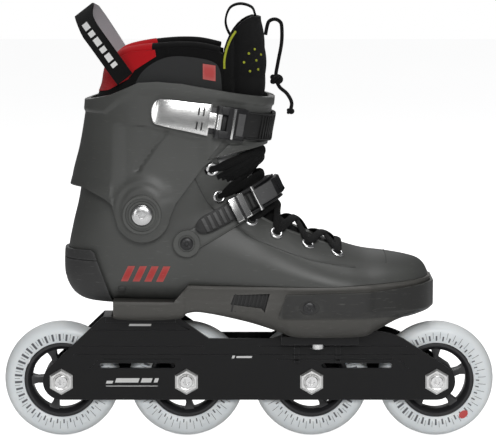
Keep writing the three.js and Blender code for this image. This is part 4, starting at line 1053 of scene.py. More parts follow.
shell_grey = plastic("shell_grey", (0.0640, 0.0658, 0.0622), (0.155, 0.16, 0.15), 0.38, 0.10, 0.28)
base_brown = plastic("base_brown", (0.068, 0.066, 0.060), (0.18, 0.17, 0.16), 0.46, 0.16, 0.45)
guard_dark = plastic("guard_charcoal", (0.030, 0.030, 0.030), (0.12, 0.12, 0.12), 0.5, 0.18, 0.5)
slider_dark = plastic("slider_dark", (0.021, 0.021, 0.020), (0.14, 0.14, 0.13), 0.36, 0.12, 0.45)
vent_dark = plastic("vent_dark", (0.012, 0.012, 0.012), (0.05, 0.05, 0.05), 0.6, 0.2, 0.2)
# Dark plastic for the rivets, and painted crease shade on the joint and toe lines.
rivet_and_crease_shade = plastic("rivet_and_crease_shade", (0.035, 0.036, 0.034), (0.1, 0.1, 0.1), 0.5, 0.1, 0.2)
generic_red = plastic("red_print", (0.42, 0.030, 0.028), (0.5, 0.2, 0.18), 0.5, 0.05, 0.3)
fit(sole_base(), base_brown, "skate", ["sole_base"])
slats = []
for side in (-1, 1):
    slats.append(prism([(-14.4, 110), (-11.6, 118.2), (16.3, 119.6), (12.3, 104.4), (9, 107.3)],
                       *sorted((side * 48.4, side * 48.9))))
    y = sorted((side * 48.2, side * 50.2))
    for x in range(-14, 13, 3):
        slats.append(prism([(x, 105), (x + 1.2, 105), (x + 4.6, 118.5), (x + 3.4, 118.5)], *y))
fit(solid("vent_slats", *together(slats)), vent_dark, "skate")

# ---- Shell ----
# The moulded grey boot round the foot: open over the instep, with a folded edge there, a
# faint joint line along the side, a rivet, and generic red bars printed at the heel.
THROAT = [(79, 150.4), (58, 154), (30, 164.5), (8, 176), (-8, 188), (-15, 200), (-22, 215), (-30, 240)]
SHOULDER_LINE = [(-120, 207), (-41.5, 206.7), (-27.3, 182.1), (-1.4, 162.6), (19.9, 153.2), (46.5, 143.8),
                 (81, 137.6)]
JOINT_LINE = [(-41.5, 206.7), (-35.4, 193.4), (-27.3, 182.1), (-1.4, 162.6), (19.9, 153.2), (46.5, 143.8),
              (73.2, 138.2), (81.1, 137.6)]
TOE_LINE = [(104.2, 147.4), (105.2, 143), (104.9, 139.4)]
PIVOT, INSTEP, BOLT_HOLE = (-81, 179), (-47.3, 156.8), 4.2


def shell_relief(points):
    """A low shoulder on the side of the shell behind the toe, under the joint line."""
    x, z = points[..., 0], points[..., 2]
    step = 1 / (1 + np.exp((z - np.interp(x, *np.array(SHOULDER_LINE).T)) * 2.2))
    ends = np.clip((x + 48) / 8, 0, 1) * np.clip((92 - x) / 14, 0, 1)
    return 0.75 * step * ends * (z > 116)


def foot_shell():
    made = solid("shell_fine", *boot_skin(SHELL, 0, 9, 200, relief=shell_relief))
    throat = eased([(x, 0, z) for x, z in THROAT], 5)[:, [0, 2]].tolist()
    seam = [(-170, 98.3), (-104.3, 98.3), (-104.3, 111.3), (-57.5, 111.3), (-46.5, 124.5), (61, 124.3),
            (150, 128.3)]
    made = machined(made, "INTERSECT", above(seam))
    return machined(
        made, "DIFFERENCE",
        solid("foot_room", *boot_skin(SHELL, WALL, 6, 140, first=1)),
        through("throat", [*throat, (-30, 300), (110, 300), (110, 150.4)]),
        through("ankle_top", [(-150, 212), (-60, 214), (-24, 236), (-24, 300), (-150, 300)]),
        drill(BOLT_HOLE, *PIVOT), drill(BOLT_HOLE, *INSTEP),
    )


fit(foot_shell(), shell_grey, "skate", ["shell"])
edges, lines, bars = [], [], []
for side in (-1, 1):
    edges.append(raised_line(SHELL, THROAT[1:-1], side, 1.5, -0.9))
    lines.append(raised_line(SHELL, JOINT_LINE, side, 0.5, 0.35))
    lines.append(raised_line(SHELL, TOE_LINE, side, 0.35, 0.1))
    for x in (-98, -89, -80, -71):
        bar = [(x, 126.4), (x + 5.4, 126.4), (x + 11.2, 138.6), (x + 5.8, 138.6)]
        bars.append(patch(SHELL, bar, side, 0.16))
fit(solid("throat_edge", *together(edges)), shell_grey, "skate")
# The joint and toe lines are thin beads, and their dark colour is painted shade in the crease along them.
fit(solid("shell_joint_lines", *together(lines)), rivet_and_crease_shade, "skate")
fit(thickened(solid("heel_bars", *together(bars)), 0.2), generic_red, "skate")


def upright(points, outs):
    """Places that stand things on points of a surface, with their own y along its facing."""
    made = []
    for p, out in zip(points, outs):
        side = np.cross(out, [0, 0, 1.0])
        side /= np.linalg.norm(side)
        made.append((p, side, out, np.cross(side, out)))
    return made


def placed(shape, spot):
    """Corners and faces moved to a place that upright gave."""
    verts, faces = shape
    p, x, y, z = spot
    verts = np.asarray(verts, float)
    return p + verts[:, :1] * x + verts[:, 1:2] * y + verts[:, 2:] * z, faces


rivet = turned([(0.01, -1), (3.0, -1), (3.0, 0.3), (2.2, 1.0), (0.01, 1.3)], 32)
rivets = [placed(rivet, upright(*laid(SHELL, [(-97.4, 119.8)], side, 0))[0]) for side in (-1, 1)]
fit(solid("heel_rivets", *together(rivets)), rivet_and_crease_shade, "skate")

# ---- Heel guard and toe slider ----
# Two replaceable wear pieces: a charcoal cap round the heel with a hook window, and a dark
# slider round the toe held by a screw on each side.
SLIDER_HOLE = (45.6, 108.5)


def heel_guard():
    made = solid("heel_guard_fine", *boot_skin(SHELL, -3.3, 10, 200, first=8, last=17))
    rounded = [(-160, 99), (-112, 100.6), *bent((-112, 100.6), (-107, 100.8), (-104.7, 106.5), 6),
               (-108.8, 121), *bent((-117.6, 146), (-118.8, 150.3), (-123, 150.0), 6), (-160, 148.5)]
    made = kept_inside(made, rounded)
    inside = solid("heel_room", *boot_skin(SHELL, -0.4, 9, 180, first=6, last=18))
    grooves = []
    for z in (107, 141.5):
        groove = solid("groove", *block((-150, -100), (-70, 70), (z, z + 0.9)))
        deep = solid("deep", *boot_skin(SHELL, -2.5, 6, 120, first=7, last=18))
        grooves.append(machined(groove, "DIFFERENCE", deep))
    window = solid("window", *block((-150, -131), (-8.5, 8.5), (115, 127.5)))
    return machined(made, "DIFFERENCE", inside, window, *grooves)


def toe_slider():
    outline = [(28.5, 118.6), (22.5, 101.6), (24, 100), (104, 100.3), (135, 96.5), (160, 96), (160, 126.4),
               (92, 120)]
    made = solid("toe_slider_fine", *base_skin(2.6))
    made = kept_inside(made, outline)
    turn = np.linspace(0, 2 * math.pi, 40, endpoint=False)
    oval = list(zip(45.6 + 8 * np.cos(turn), 108.6 + 5.4 * np.sin(turn)))
    cuts = [solid("recess", *prism(oval, *y)) for y in ((-62, -56.1), (56.1, 62))]
    return machined(
        made, "DIFFERENCE", solid("tray", *base_skin(0.4)),
        solid("boot", *boot_skin(SHELL, -0.4, 5, 120, last=8)), drill(2.7, *SLIDER_HOLE, 24), *cuts)


fit(heel_guard(), guard_dark, "skate", ["heel_guard"])
fit(toe_slider(), slider_dark, "skate", ["toe_slider"])


def capped_screw(head, stem, height, length, seat, key, side):
    """A domed socket screw that lies along y, with its head outwards on one side."""
    profile = [(0.01, seat + length), (stem, seat + length), (stem, seat), (head, seat)]
    for reach, rise in ((1, 0.35), (0.95, 0.58), (0.84, 0.76), (0.66, 0.92), (0.45, 1)):
        profile.append((head * reach, seat - height * rise))
    profile.append((0.01, seat - height))
    made = solid("screw", *turned([(r, -side * y) for r, y in profile], 40))
    hole = prism(lobed(key, 0.0, 6, 6), *sorted((-side * (seat - height - 1), -side * (seat - height * 0.3))))
    return machined(made, "DIFFERENCE", solid("key", *hole))


def screw_pair(name, place, finish, *sizes):
    """The same screw on the outer and the inner side, at a side-view place."""
    for label, side in (("outer", -1), ("inner", 1)):
        screw = capped_screw(*sizes, side)
        screw.name = f"{name}_{label}_fine"
        screw.location = (place[0] * MM, 0, place[1] * MM)
        fit(screw, finish, "skate", [f"{name}_{label}"])


screw_black = plastic("screw_black", (0.015, 0.015, 0.016), (0.12, 0.12, 0.12), 0.3, 0.05, 0.4)
screw_pair("slider_screw", SLIDER_HOLE, screw_black, 4.6, 2.5, 1.2, 8, -56.2, 2.1)

# ---- Cuff ----
# The stiff cuff that hugs the ankle and swings on one bolt each side. It is the shell's
# plastic with a thicker rim on top, a flat for the buckle and a round boss at the pivot.
CUFF = np.array([
    [2, 145, -133, 145, 50, 2.8, 2.2, 0], [3, 165, -135, 165, 50.5, 2.8, 2.2, 0],
    [5, 185, -137.5, 185, 50, 2.8, 2.2, 0], [9, 208, -136.5, 205, 49, 2.9, 2.2, 0],
    [13, 230, -131, 227, 48, 3, 2.2, 0], [16, 248, -127.5, 246, 48, 3, 2.2, 0],
    [18.5, 264, -125.5, 262, 48.5, 3, 2.2, 0], [19.5, 290, -124.5, 290, 49, 3, 2.2, 0],
])
CUFF_TOP = [(-150, 258.5), (-123.5, 264.2), (-104.8, 269), (-83.8, 278.6), (-69.3, 279.6), (-50.1, 278),
            (-14.1, 271.4), (30, 264)]
CUFF_RIDGE = [(-150, 252), (-123.5, 255.3), (-109, 255.4), (-98.2, 264.3), (-83.7, 271.1), (-69.3, 272),
              (-50.1, 270.3), (-14.1, 264.9), (30, 257)]


def smooth_step(value, width):
    """0 below zero and 1 above it, with a soft change about as wide as width."""
    return 1 / (1 + np.exp(-4 * value / width))


def cuff_relief(points):
    """A rim along the top, a flat under the buckle's ridge, a slanted groove and a swelling."""
    x, y, z = np.moveaxis(points, -1, 0)
    ridge = np.interp(x, *np.array(CUFF_RIDGE).T)
    rim = 1.3 * smooth_step(z - ridge, 1.2)
    flat = np.interp(x, [-96, -79, -62, -40], [246.8, 245.8, 241.6, 236])
    sink = -1.6 * smooth_step(flat - z, 1.0)
    sink = sink * np.clip((x + 104) / 10, 0, 1) * np.clip((-30 - x) / 8, 0, 1)
    groove_x = np.interp(z, [212, 216.3, 234.4, 241.5], [-84.8, -82.7, -69.4, -62])
    groove = -1.4 * np.exp(-(((x - groove_x) / 2.0) ** 2)) * (z > 211) * (z < 243)
    reach = np.hypot(x - PIVOT[0], (z - PIVOT[1] - 3) / 1.12)
    swelling = 2.6 * (1 - smooth_step(reach - 21, 7)) - 0.8 * np.exp(-(((reach - 17.5) / 1.6) ** 2))
    lip = 1.3 * smooth_step(-(z - 232.6 - 0.1 * x), 0.7) * np.clip((x + 26) / 5, 0, 1)
    flare = 1.2 * np.clip((205 - z) / 8, 0, 1) * (x < -104)
    return (rim + sink + groove + lip + flare) * (np.abs(y) > 3) + swelling


def cuff_plastic():
    made = solid("cuff_fine", *boot_skin(CUFF, 0, 14, 240, relief=cuff_relief))
    boss = [(0.01, 40), (15, 40), (15, 51.0), (14.4, 51.6), (12.6, 51.6), (12.2, 50.8), (10.6, 50.8),
            (10.2, 51.6), (8.6, 51.6), (8.4, 50.6), (0.01, 50.6)]
    for side in (-1, 1):
        made = machined(made, "UNION", solid("boss", *moved(
            turned([(r, side * y) for r, y in boss], 72), PIVOT[0], 0, PIVOT[1])))
    outline = [*CUFF_TOP, (30, 231.5), (11.2, 229.9), (-8.1, 226.2), (-26.2, 222.2), (-34.7, 215),
               (-39.5, 208.7), (-55.8, 187.2), *arc(*PIVOT, 21, -0.04 * math.pi, -0.85 * math.pi, 22),
               (-104, 186), (-109, 190), (-126, 198), (-150, 199)]
    made = kept_inside(made, outline)
    corner = [(-31.5, 220), (-19, 236), (-14.5, 232.2), (-27.5, 221)]
    deep = solid("deep", *boot_skin(CUFF, 1.7, 8, 160))
    notch = machined(through("notch", corner), "DIFFERENCE", deep)
    return machined(
        made, "DIFFERENCE", notch,
        solid("ankle_room", *boot_skin(CUFF, WALL, 8, 160)),
        solid("slit", *block((-10, 40), (7, 15), (200, 300))),
        drill(BOLT_HOLE, *PIVOT),
    )


fit(cuff_plastic(), shell_grey, "cuff", ["cuff"])
screw_pair("cuff_pivot_bolt", PIVOT, bright_steel, 7.8, 4, 2.4, 9, -51.9, 2.9)

# ---- Liner ----
# The removable padded boot: a black bootie, a stretch ankle, a padded collar with a red suede
# heel, and a tongue with yellow-green piping and holes.
COLLAR = np.array([
    [6, 222, -123, 210, 37.2, 2.6, 2.2, 0], [8, 240, -121, 236, 37.4, 2.6, 2.2, 0],
    [11, 262, -117, 262, 42.5, 2.6, 2.2, 0], [13, 280, -111, 282, 43, 2.5, 2.2, 0],
    [13, 300, -108, 300, 42, 2.4, 2.2, 0], [9, 330, -106, 330, 40, 2.4, 2.2, 0],
])
ANKLE_KNIT = np.array([
    [1, 196, -124, 178, 36, 2.4, 2.2, 0], [3, 208, -122, 192, 36, 2.4, 2.2, 0],
    [4, 222, -120, 210, 36, 2.5, 2.2, 0], [6, 236, -119, 230, 36.3, 2.6, 2.2, 0],
    [8, 252, -117, 248, 37.2, 2.6, 2.2, 0],
])
LINER_OUT, LINER_THICK, COLLAR_THICK = 4.1, 6.5, 8
COLLAR_TOP = [(-150, 289), (-108, 291), (-90, 301), (-50, 305.5), (-18, 300.5), (60, 278)]
black_knit = cloth("black_knit", (0.008, 0.008, 0.009), (0.004, 0.004, 0.004), 1100.0, 0.6)
grey_knit = cloth("grey_knit", (0.085, 0.088, 0.090), (0.03, 0.03, 0.03), 800.0, 0.7)
red_suede = cloth("red_suede", (0.62, 0.010, 0.016), (0.42, 0.006, 0.010), 1600.0, 0.35, 0.12)
lime_thread = cloth("lime_thread", (0.55, 0.60, 0.06), (0.35, 0.38, 0.03), 1200.0, 0.5)
webbing_black = cloth("webbing_black", (0.018, 0.018, 0.019), (0.004, 0.004, 0.004), 620.0, 0.9)
webbing_grey = cloth("webbing_grey", (0.66, 0.66, 0.69), (0.42, 0.42, 0.44), 620.0, 0.7)


def quilted(points):
    """Foam that swells between slanted seams."""
    x, _, z = np.moveaxis(points, -1, 0)
    cell = np.abs(np.sin((x * 0.5 + z) * math.pi / 22))
    return 1.0 * np.sqrt(np.clip(cell, 0, 1)) - 1.0


def liner_bootie():
    made = solid("liner_bootie_fine", *boot_skin(SHELL, LINER_OUT, 6, 140, 2, 16, relief=quilted))
    inside = solid("foot", *boot_skin(SHELL, LINER_OUT + LINER_THICK, 6, 120, 3, 17))
    top = through("top", [(-170, 196), (-100, 182), (20, 200), (20, 300), (-170, 300)])
    return machined(made, "DIFFERENCE", inside, top)


bootie = fit(liner_bootie(), black_knit, "skate", ["liner_bootie"])


def ribbed(points):
    """Level ribs of stretch knit."""
    return 0.35 * np.sin(points[..., 2] * math.pi / 2.4)


def liner_ankle():
    made = solid("liner_ankle", *boot_skin(ANKLE_KNIT, 0, 24, 120, relief=ribbed))
    room = ANKLE_KNIT.copy()
    room[0, [1, 3]] -= 12
    room[-1, [1, 3]] += 12
    return machined(made, "DIFFERENCE", solid("ankle", *boot_skin(room, 2.4, 8, 100)))


ankle = liner_ankle()
ankle.data.materials.append(black_knit)
ankle.data.shade_smooth()
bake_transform(ankle)


def level(rows, height, turn, outset=0.0):
    """Where a boot surface, at turns round it, meets a height that depends on x."""
    turn = np.asarray(turn, float)
    low, high = np.zeros_like(turn), np.full_like(turn, len(rows) - 1.0)
    for _ in range(30):
        u = (low + high) / 2
        p = on_boot(rows, u, turn, -outset)
        under = p[..., 2] < height(p[..., 0])
        low, high = np.where(under, u, low), np.where(under, high, u)
    return on_boot(rows, low, turn, -outset)


def rim_tube(rows, height, start, end, radius, outset, count):
    """A roll along the top of a boot surface from one turn to another."""
    line = level(rows, height, np.linspace(start, end, count), outset)
    return rope(line, (radius, radius), up=(0, 0, 1), sides=16)


def smooth_line(line):
    """A side-view line made smooth."""
    return eased([(x, 0, z) for x, z in line], 8)[:, [0, 2]].tolist()


def over(line):
    """The height of a side-view line over any x."""
    x, z = np.array(smooth_line(line)).T
    return lambda at: np.interp(at, x, z)


def collar_pad(points):
    """Two soft swellings behind a seam, and a fuller pad beside the ankle."""
    x, y, z = np.moveaxis(points, -1, 0)
    seam = np.exp(-(((z - 272 - 0.1 * x) / 1.8) ** 2)) + np.exp(-(((x + 62) / 1.8) ** 2)) * (z > 262)
    return -1.1 * np.clip(seam, 0, 1) + 0.6


def liner_collar():
    made = solid("liner_collar_fine", *boot_skin(COLLAR, 0, 16, 180, relief=collar_pad))
    foot = [(-170, 100), (60, 100), (60, 248), (-24, 246), (-62, 222), (-170, 219)]
    return machined(
        made, "DIFFERENCE", solid("leg", *boot_skin(COLLAR, COLLAR_THICK, 8, 120)), through("foot", foot),
        above([(x, z - 0.5) for x, z in smooth_line(COLLAR_TOP)]),
        solid("front", *block((-20, 60), (-BOOT_WIDE, BOOT_WIDE), (100, 400))))


collar = fit(liner_collar(), black_knit, "cuff", ["liner_collar"])
collar_rim = over(COLLAR_TOP)
side_turn = find(COLLAR, [-21], [300], -1)[1][0]
red_turn = find(COLLAR, [-74], [302], -1)[1][0]
roll = [rim_tube(COLLAR, collar_rim, way * side_turn, way * red_turn, 4.1, -4.0, 60) for way in (1, -1)]
collar_roll = fit(solid("collar_roll", *together(roll)), black_knit, "cuff")
red_roll = solid("red_roll", *rim_tube(COLLAR, collar_rim, red_turn, -red_turn - 2 * math.pi, 4.4, -3.9, 140))
fit(red_roll, red_suede, "cuff")


def skin_piece(name, rows, outer, inner, outline, relief=None):
    """A thin sheet of a boot surface inside a side-view outline, on both sides."""
    made = solid(name, *boot_skin(rows, -outer, 12, 180, relief=relief))
    made = kept_inside(made, outline)
    return machined(made, "DIFFERENCE", solid("under", *boot_skin(rows, -inner, 8, 120)))


def soft_swell(points):
    """Shallow hollows of padded suede."""
    return 0.5 * np.sin(points[..., 0] * 0.21) * np.sin(points[..., 2] * 0.27)


red_outline = [(-150, 262), (-107, 272), (-91.4, 281), (-86.5, 287.8), (-70.2, 298.4), (-71, 303.4),
               (-90, 301.5), (-108, 291.5), (-150, 289.5)]
red_heel = skin_piece("red_heel_suede", COLLAR, 1.3, -0.6, red_outline, soft_swell)
fit(red_heel, red_suede, "cuff")
panel_top = [(-89, 272), (-81, 286.3), (-69.4, 295), (-56.2, 298.6), (-38, 297.2), (-26, 293.6),
             (-21.8, 287), (-20.6, 276)]
panel_outline = [*smooth_line(panel_top), (-20.5, 262), (-89, 262)]
fit(skin_piece("side_panel", COLLAR, 1.3, -0.6, panel_outline), grey_knit, "cuff")
tag = [(-35, 281.5), (-25.6, 279.8), (-25.6, 291.5), (-35, 293)]
tags = [patch(COLLAR, tag, side, 1.65) for side in (-1, 1)]
fit(thickened(solid("side_tags", *together(tags)), 0.5), generic_red, "cuff")


def tongue_pad(points):
    """A foam tongue with a shallow channel inside its edge and soft pads across it."""
    x, y, z = np.moveaxis(points, -1, 0)
    pads = 0.7 * np.abs(np.sin((z - 240) * math.pi / 21))
    return pads - 1.3 * np.exp(-(((x + 11) / 1.5) ** 2)) * (x < 6)


def liner_tongue():
    made = solid("liner_tongue_fine", *boot_skin(COLLAR, 0.6, 18, 200, relief=tongue_pad))
    outline = [(-19.7, 238), (40, 240), (40, 312), *bent((40, 312), (22, 327), (2, 327.5)),
               *bent((2, 327.5), (-13, 323), (-19.7, 300))]
    made = kept_inside(made, outline)
    return machined(made, "DIFFERENCE", solid("shin", *boot_skin(COLLAR, COLLAR_THICK, 8, 120)))


tongue = fit(liner_tongue(), black_knit, "cuff", ["liner_tongue"])
tongue_edge = [(-10.2, 317), (-14, 311), (-17, 303.5), (-18.6, 296), (-18.8, 289)]
piping = [raised_line(COLLAR, tongue_edge, side, 0.9, 0.2) for side in (-1, 1)]
fit(solid("tongue_piping", *together(piping)), lime_thread, "cuff")
holes = []
for side in (-1, 1):
    spots = [(-0.3, 300), (4.2, 303), (5.4, 294.5), (9, 298.5), (0.6, 286.6), (6.8, 287.5), (-4, 293.5)]
    for spot in upright(*laid(COLLAR, spots, side, 0.35)):
        holes.append(placed(turned([(0.01, -0.6), (0.95, -0.6), (0.95, 0.15), (0.01, 0.3)], 12), spot))
fit(solid("tongue_holes", *together(holes)), lime_thread, "cuff")


def strip(path, inner, outer, low, high, corner=0.4):
    """A band with eased corners. path holds its points, the ways out and the ways of its width."""
    at, out, wide = path
    t = np.linspace(0, 1, len(at))
    sizes = (inner, outer, low, high)
    inner, outer, low, high = (np.broadcast_to(v(t) if callable(v) else v, t.shape) for v in sizes)
    near = corner * (1 - math.sqrt(0.5))
    corners = ((outer, -1, high, -1), (outer, -1, low, 1), (inner, 1, low, 1), (inner, 1, high, -1))
    ring = []
    for o, down, w, back in corners:
        ring += [(o + down * corner, w), (o + down * near, w + back * near), (o, w + back * corner)]
    rings = np.stack([at + out * o[:, None] + wide * w[:, None] for o, w in ring], 1)
    return lofted(rings)


def webbing_path(points, wide):
    """The path of a webbing band through given points, all its width one way."""
    at = eased(points, 10)
    wide = np.broadcast_to(np.array(wide) / np.linalg.norm(wide), at.shape)
    out = np.cross(along(at), wide)
    return at, out / np.linalg.norm(out, axis=1)[:, None], wide


heel_leg = [(-90, -38.6, 284), (-98, -38, 295), (-110, -32, 311), (-122, -19, 326)]
far_leg = [(x + 7, -y, z + 1) for x, y, z in heel_leg[::-1]]
heel_path = webbing_path([*heel_leg, (-126, 0, 332), *far_leg], (0.78, 0, 0.62))
LOOP_OUTLINE = [(-134.3, 328), (-133.6, 332), (-131, 335.4), (-126, 337.4), (-119.7, 337.2), (-116, 334.5),
                (-112, 328), (-97.4, 303.6), (-84, 284), (-78, 262), (-112, 262), (-112.5, 289),
                (-128.3, 315.8)]


def loop_piece(name, inner, outer, low, high, corner):
    """A layer of the heel loop, from inner to outer along the webbing's facing."""
    made = solid(name, *strip(heel_path, *sorted((inner * heel_in, outer * heel_in)), low, high, corner))
    return kept_inside(made, LOOP_OUTLINE)


def near_leg(t):
    """The near leg is folded narrow. It opens to the webbing's full width over the heel."""
    return 2.5 + 9.5 * smooth_step(t - 0.42, 0.12)


tongue_path = webbing_path([(5, 0, 327.4), (2, 0, 334), (-7, 0, 336.6), (-15, 0, 333), (-18, 0, 322),
                            (-13, 0, 311), (-2, 0, 305)], (0, 1, 0))
heel_in = 1 if (heel_path[1][len(heel_path[1]) // 2] @ np.array([1.0, 0, 0])) > 0 else -1
fit(loop_piece("heel_pull_loop_fine", -0.9, 0.3, -12, near_leg, 0.3),
    webbing_black, "cuff", ["heel_pull_loop"])
fit(loop_piece("heel_loop_facing", 0.3, 0.9, -10.5, lambda t: near_leg(t) - 1.5, 0.2),
    webbing_grey, "cuff")
fit(solid("tongue_pull_loop_fine", *strip(tongue_path, -0.8, 0.8, -9, 9, 0.35)),
    webbing_black, "cuff", ["tongue_pull_loop"])
marks = []
for start, end in ((9, 11), (12, 15), (16, 18), (19, 22), (23, 25), (26, 29)):
    part = [part[start:end + 1] for part in heel_path]
    marks.append(strip(part, *sorted((-0.95 * heel_in, -0.8 * heel_in)), -7.4, -2.6, 0.05))
fit(solid("heel_loop_marks", *together(marks)), white_ink, "cuff")


def insole():
    made = solid("insole_fine", *boot_skin(SHELL, LINER_OUT + LINER_THICK + 0.5, 6, 120, 3.4, 14.5))
    top = [(-150, 123.5), (-128, 123.5), (-95, 122.5), (-20, 117.5), (10, 113), (60, 109), (121, 109.5),
           (150, 110)]
    return machined(made, "DIFFERENCE", above(top))


fit(insole(), grey_knit, "skate", ["insole"])

# ---- Instep strap ----
# The slanting strap: a stiff moulded arm on the outer side carries a ratchet buckle, and a
# toothed ladder comes over from the inner side. Black bolts in discs hold both ends.
LADDER_RISE, INSTEP_SLOPE = 6.5, 0.5


def instep_height(x):
    """The height of the instep strap's line over x."""
    return INSTEP[1] + INSTEP_SLOPE * (x - INSTEP[0])


def strap_path(rows, height, rise, start, end, count):
    """Steps along a strap: points on a boot surface, the way out and the way of its width."""
    turn = np.linspace(start, end, count + 1)
    wide = np.broadcast_to(np.array([-rise, 0, 1]) / math.hypot(rise, 1), (count + 1, 3))
    ahead = level(rows, height, turn + 0.03) - level(rows, height, turn - 0.03)
    out = np.cross(ahead, wide)
    return level(rows, height, turn), out / np.linalg.norm(out, axis=1)[:, None], wide


def turn_at(rows, height, x, side):
    """The turn where a strap's line on a boot surface passes x, on one side."""
    front, back = 0.0, math.pi
    for _ in range(30):
        turn = (front + back) / 2
        if level(rows, height, np.array([side * turn]))[0, 0] > x:
            front = turn
        else:
            back = turn
    return side * front


def instep_path(start, end, count):
    return strap_path(SHELL, instep_height, INSTEP_SLOPE, start, end, count)


def mix(a, b):
    """A size that goes evenly from a to b along a strap."""
    return lambda t: a + (b - a) * t


outer_anchor = turn_at(SHELL, instep_height, INSTEP[0] - 1, -1)
inner_anchor = turn_at(SHELL, instep_height, INSTEP[0] - 1, 1)
bolt_turn = turn_at(SHELL, instep_height, INSTEP[0], -1)
anchor_y = abs(level(SHELL, instep_height, np.array([bolt_turn]))[0, 1])
buckle_black = plastic("buckle_black", (0.011, 0.011, 0.012), (0.10, 0.10, 0.10), 0.34, 0.08, 0.4)
strap_black = plastic("strap_black", (0.008, 0.008, 0.008), (0.06, 0.06, 0.06), 0.5, 0.14, 0.4)
teeth_grey = plastic("teeth_grey", (0.042, 0.042, 0.042), (0.16, 0.16, 0.16), 0.42, 0.1, 0.4)
panel_grey = plastic("panel_grey", (0.085, 0.085, 0.086), (0.3, 0.3, 0.3), 0.4, 0.1, 0.35)
chrome = metal("chrome", (0.86, 0.86, 0.85), (0.97, 0.97, 0.97), 0.15, 0.10, 0.05)


def disc(radius, y0, y1, x, z, side):
    """The dished end of a strap round its bolt."""
    profile = [(0.01, y0), (radius, y0), (radius, y1 - 0.5), (radius - 0.6, y1), (radius * 0.62, y1),
               (radius * 0.58, y1 - 0.5), (0.01, y1 - 0.5)]
    return moved(turned([(r, side * y) for r, y in profile], 48), x, 0, z)


arm = [strip(instep_path(outer_anchor, -0.26, 40), mix(1.8, 3.8), 5.0, mix(-8, -2), mix(8, 13), 0.9),
       disc(10.4, anchor_y + 2.4, anchor_y + 5.6, *INSTEP, -1)]
fit(solid("instep_strap_arm_fine", *together(arm)), shell_grey, "instep_strap",
    ["instep_strap_arm"])


def ladder_across(t):
    """How far the ladder lies above the arm's line: it comes down to the inner bolt."""
    return LADDER_RISE * (1 - np.maximum(0, (t - 0.6) / 0.4))


def sunk(face, rest):
    """A face of the ladder that sinks towards the shell on its way to the inner bolt."""
    return lambda t: np.where(t < 0.6, face, face + (rest - face) * (t - 0.6) / 0.4)


def tail_round(t, half):
    """Half width of a strap with a rounded tail at its start."""
    return half * np.sqrt(np.clip(1 - np.clip(1 - t / 0.045, 0, 1) ** 2, 0.02, 1))


ladder_path = instep_path(-1.4, inner_anchor, 150)
ladder = [strip(ladder_path, sunk(6.8, 1.8), sunk(8.6, 5), lambda t: ladder_across(t) - tail_round(t, 7),
                lambda t: ladder_across(t) + tail_round(t, 7), 0.5),
          disc(10.4, anchor_y + 1.8, anchor_y + 5.6, *INSTEP, 1)]
teeth = []
for start in range(4, 92, 3):
    piece = [part[start:start + 3] for part in ladder_path]
    piece[0] = piece[0].copy()
    piece[0][-1] = 0.6 * piece[0][-2] + 0.4 * piece[0][-1]
    shift = float(ladder_across(np.array([start / 150]))[0])
    teeth.append(strip(piece, 8.4, 9.6, shift - 5.6, shift + 5.6, 0.3))
fit(solid("ladder_teeth", *together(teeth)), teeth_grey, "instep_strap")
fit(solid("ladder_strap_fine", *together(ladder)), strap_black, "instep_strap",
    ["ladder_strap"])


def instep_band(start, end, count, inner, outer, low, high, corner=0.5):
    return strip(instep_path(start, end, count), inner, outer, LADDER_RISE + low, LADDER_RISE + high, corner)


buckle = [
    instep_band(-1.02, -0.26, 16, 5.3, 6.5, -9.4, 9.4),
    instep_band(-1.02, -0.26, 16, 5.3, mix(12.2, 12.8), 7.4, 9.4, 0.7),
    instep_band(-1.02, -0.26, 16, 5.3, mix(12.2, 12.8), -9.4, -7.4, 0.7),
    instep_band(-1.02, -0.86, 4, 10, 13, -9.4, 9.4, 0.8),
]
fit(solid("instep_buckle_fine", *together(buckle)), buckle_black, "instep_strap",
    ["instep_buckle"])
rims = [instep_band(start, start + 0.065, 4, 11.6, 14, -9.7, 9.7, 0.7) for start in (-1.03, -0.935)]
fit(solid("instep_buckle_bars", *together(rims)), chrome, "instep_strap")


def grip_rise(t):
    """The ratchet lever's top, which swells in the middle."""
    return 12.6 + 1.6 * np.sin(np.clip(t, 0, 1) * math.pi) ** 0.6


lever = [instep_band(-0.74, -0.06, 24, 10, grip_rise, -7.0, 7.0, 1.1)]
for k in range(6):
    start = -0.33 + 0.04 * k
    lever.append(instep_band(start, start + 0.02, 2, 13.0, 14.7 - 0.12 * k, -6.2, 6.2, 0.35))
fit(solid("instep_ratchet_lever_fine", *together(lever)), buckle_black, "ratchet_lever",
    ["instep_ratchet_lever"])
ratchet_panel = instep_band(-0.73, -0.44, 10, 12.8, mix(13.9, 14.6), -6.4, 6.4, 0.3)
fit(solid("ratchet_panel", *ratchet_panel), panel_grey, "ratchet_lever")
pin_at, pin_out, pin_wide = (part[0] for part in instep_path(-0.72, -0.71, 1))
pin_mid = pin_at + pin_out * 11.6 + pin_wide * LADDER_RISE
pin_line = pin_mid + np.linspace(-9.9, 9.9, 8)[:, None] * pin_wide
fit(solid("ratchet_pin", *rope(pin_line, (1.5, 1.5), up=pin_out, sides=20)), chrome, "instep_strap")
screw_pair("instep_bolt", INSTEP, buckle_black, 4.9, 3, 1.8, 9, -(anchor_y + 5.4), 2.3)

# ---- Cuff buckle and strap ----
# A chrome over-centre lever on a black block draws in a grooved black strap that runs round
# the front of the cuff to a riveted end on the inner side.
CUFF_SLOPE = -0.17
STRAP_HALF, STRAP_FACE, RIB_STEP = 10.5, 3.4, 0.07


def cuff_height(x):
    """The height of the cuff strap's middle over x."""
    return 249.5 + CUFF_SLOPE * (x + 21)


def cuff_path(start, end, count):
    return strap_path(CUFF, cuff_height, CUFF_SLOPE, start, end, count)


def cuff_band(start, end, count, inner, outer, low, high, corner=0.4):
    return strip(cuff_path(start, end, count), inner, outer, low, high, corner)


axis_at, axis_out, axis_wide = (part[0] for part in cuff_path(-1.27, -1.26, 1))
axis_mid = axis_at + axis_out * 5.0


